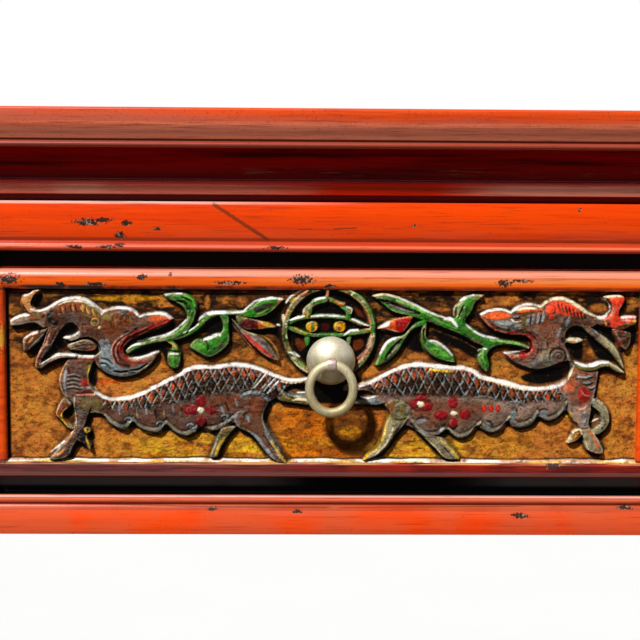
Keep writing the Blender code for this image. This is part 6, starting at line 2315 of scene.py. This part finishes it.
# %% [markdown]
# ## Boss and ring
#
# The boss is half a ball, flattened and given a wall. The ring is a torus drawn slightly tall. The strap is
# a copy of its solid with softened edges.

# %% Build the pulls
BOSS_WALL = 0.0014
SLOT_ROOM = 0.0006
SLOT_DEEP = 0.02
SLOT_TALL = 0.0028
STRAP_EDGE = 0.0002


def boss_pattern(node):
    low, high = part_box(node)
    radius = (high.x - low.x) / 2
    rise = high.y - low.y
    centre = ((low.x + high.x) / 2, high.y, (low.z + high.z) / 2)
    bpy.ops.object.select_all(action="DESELECT")
    bpy.ops.mesh.primitive_uv_sphere_add(segments=64, ring_count=32, radius=radius, location=centre,
                                         rotation=(math.pi / 2, 0.0, 0.0), scale=(1.0, 1.0, rise / radius))
    piece = bpy.context.active_object
    bpy.ops.object.transform_apply(location=True, rotation=True, scale=True)
    bpy.ops.object.mode_set(mode="EDIT")
    bpy.ops.mesh.select_all(action="SELECT")
    bpy.ops.mesh.bisect(plane_co=centre, plane_no=(0.0, 1.0, 0.0), clear_outer=True)
    bpy.ops.object.mode_set(mode="OBJECT")
    wall = piece.modifiers.new("wall", "SOLIDIFY")
    wall.thickness = BOSS_WALL
    wall.offset = -1.0
    apply_all(piece)
    strap_low, strap_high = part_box(node.replace("boss", "strap"))
    bpy.ops.object.select_all(action="DESELECT")
    slot_size = (strap_high.x - strap_low.x + SLOT_ROOM, SLOT_DEEP, SLOT_TALL)
    bpy.ops.mesh.primitive_cube_add(size=1.0, location=(centre[0], low.y, centre[2]), scale=slot_size)
    cut_away(piece, bpy.context.active_object)
    pick_only(piece)
    bpy.ops.object.shade_smooth_by_angle(angle=SHARP)
    return piece


def ring_pattern(node):
    low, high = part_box(node)
    centre = (low + high) / 2
    half = (high - low) / 2
    bpy.ops.object.select_all(action="DESELECT")
    bpy.ops.mesh.primitive_torus_add(major_segments=96, minor_segments=24, major_radius=half.x - half.y,
                                     minor_radius=half.y, location=centre, rotation=(math.pi / 2, 0.0, 0.0))
    piece = bpy.context.active_object
    piece.scale = (1.0, half.z / half.x, 1.0)
    bpy.ops.object.transform_apply(location=True, rotation=True, scale=True)
    bpy.ops.object.shade_smooth()
    return piece


boss = boss_pattern("middle_drawer_pull_boss")
ring = ring_pattern("middle_drawer_pull_ring")
for bay in BAYS:
    copy = own_copy(boss, bay + "_boss", BAY_SHIFT[bay])
    finish_piece(copy, bay + "_drawer", brass, "pale_brass", bay + "_drawer_pull_boss")
    copy = own_copy(ring, bay + "_ring_shape", BAY_SHIFT[bay])
    finish_piece(copy, bay + "_ring", ring_brass, "pale_brass", bay + "_drawer_pull_ring")
    softened(bay + "_drawer_pull_strap", STRAP_EDGE, copper)
for pattern in (boss, ring):
    bpy.data.objects.remove(pattern)
print("pulls done")

# %% [markdown]
# ## The hidden wood
#
# Runners, battens and drawer boxes keep their solids as they are and get the bare wood,
# with its grain along each board.

# %% Dress the solids that stay
GRAIN_WORDS = (("runner", "y"), ("batten", "y"), ("_side", "y"), ("drawer_back", "x"), ("drawer_bottom", "x"))
for name, node in frame["nodes"].items():
    for word, axis in GRAIN_WORDS:
        if word in name and not node.hide_render:
            node.material_slots[0].material = wood_finish[axis]
print("bare wood on the solids that stay")

# %% [markdown]
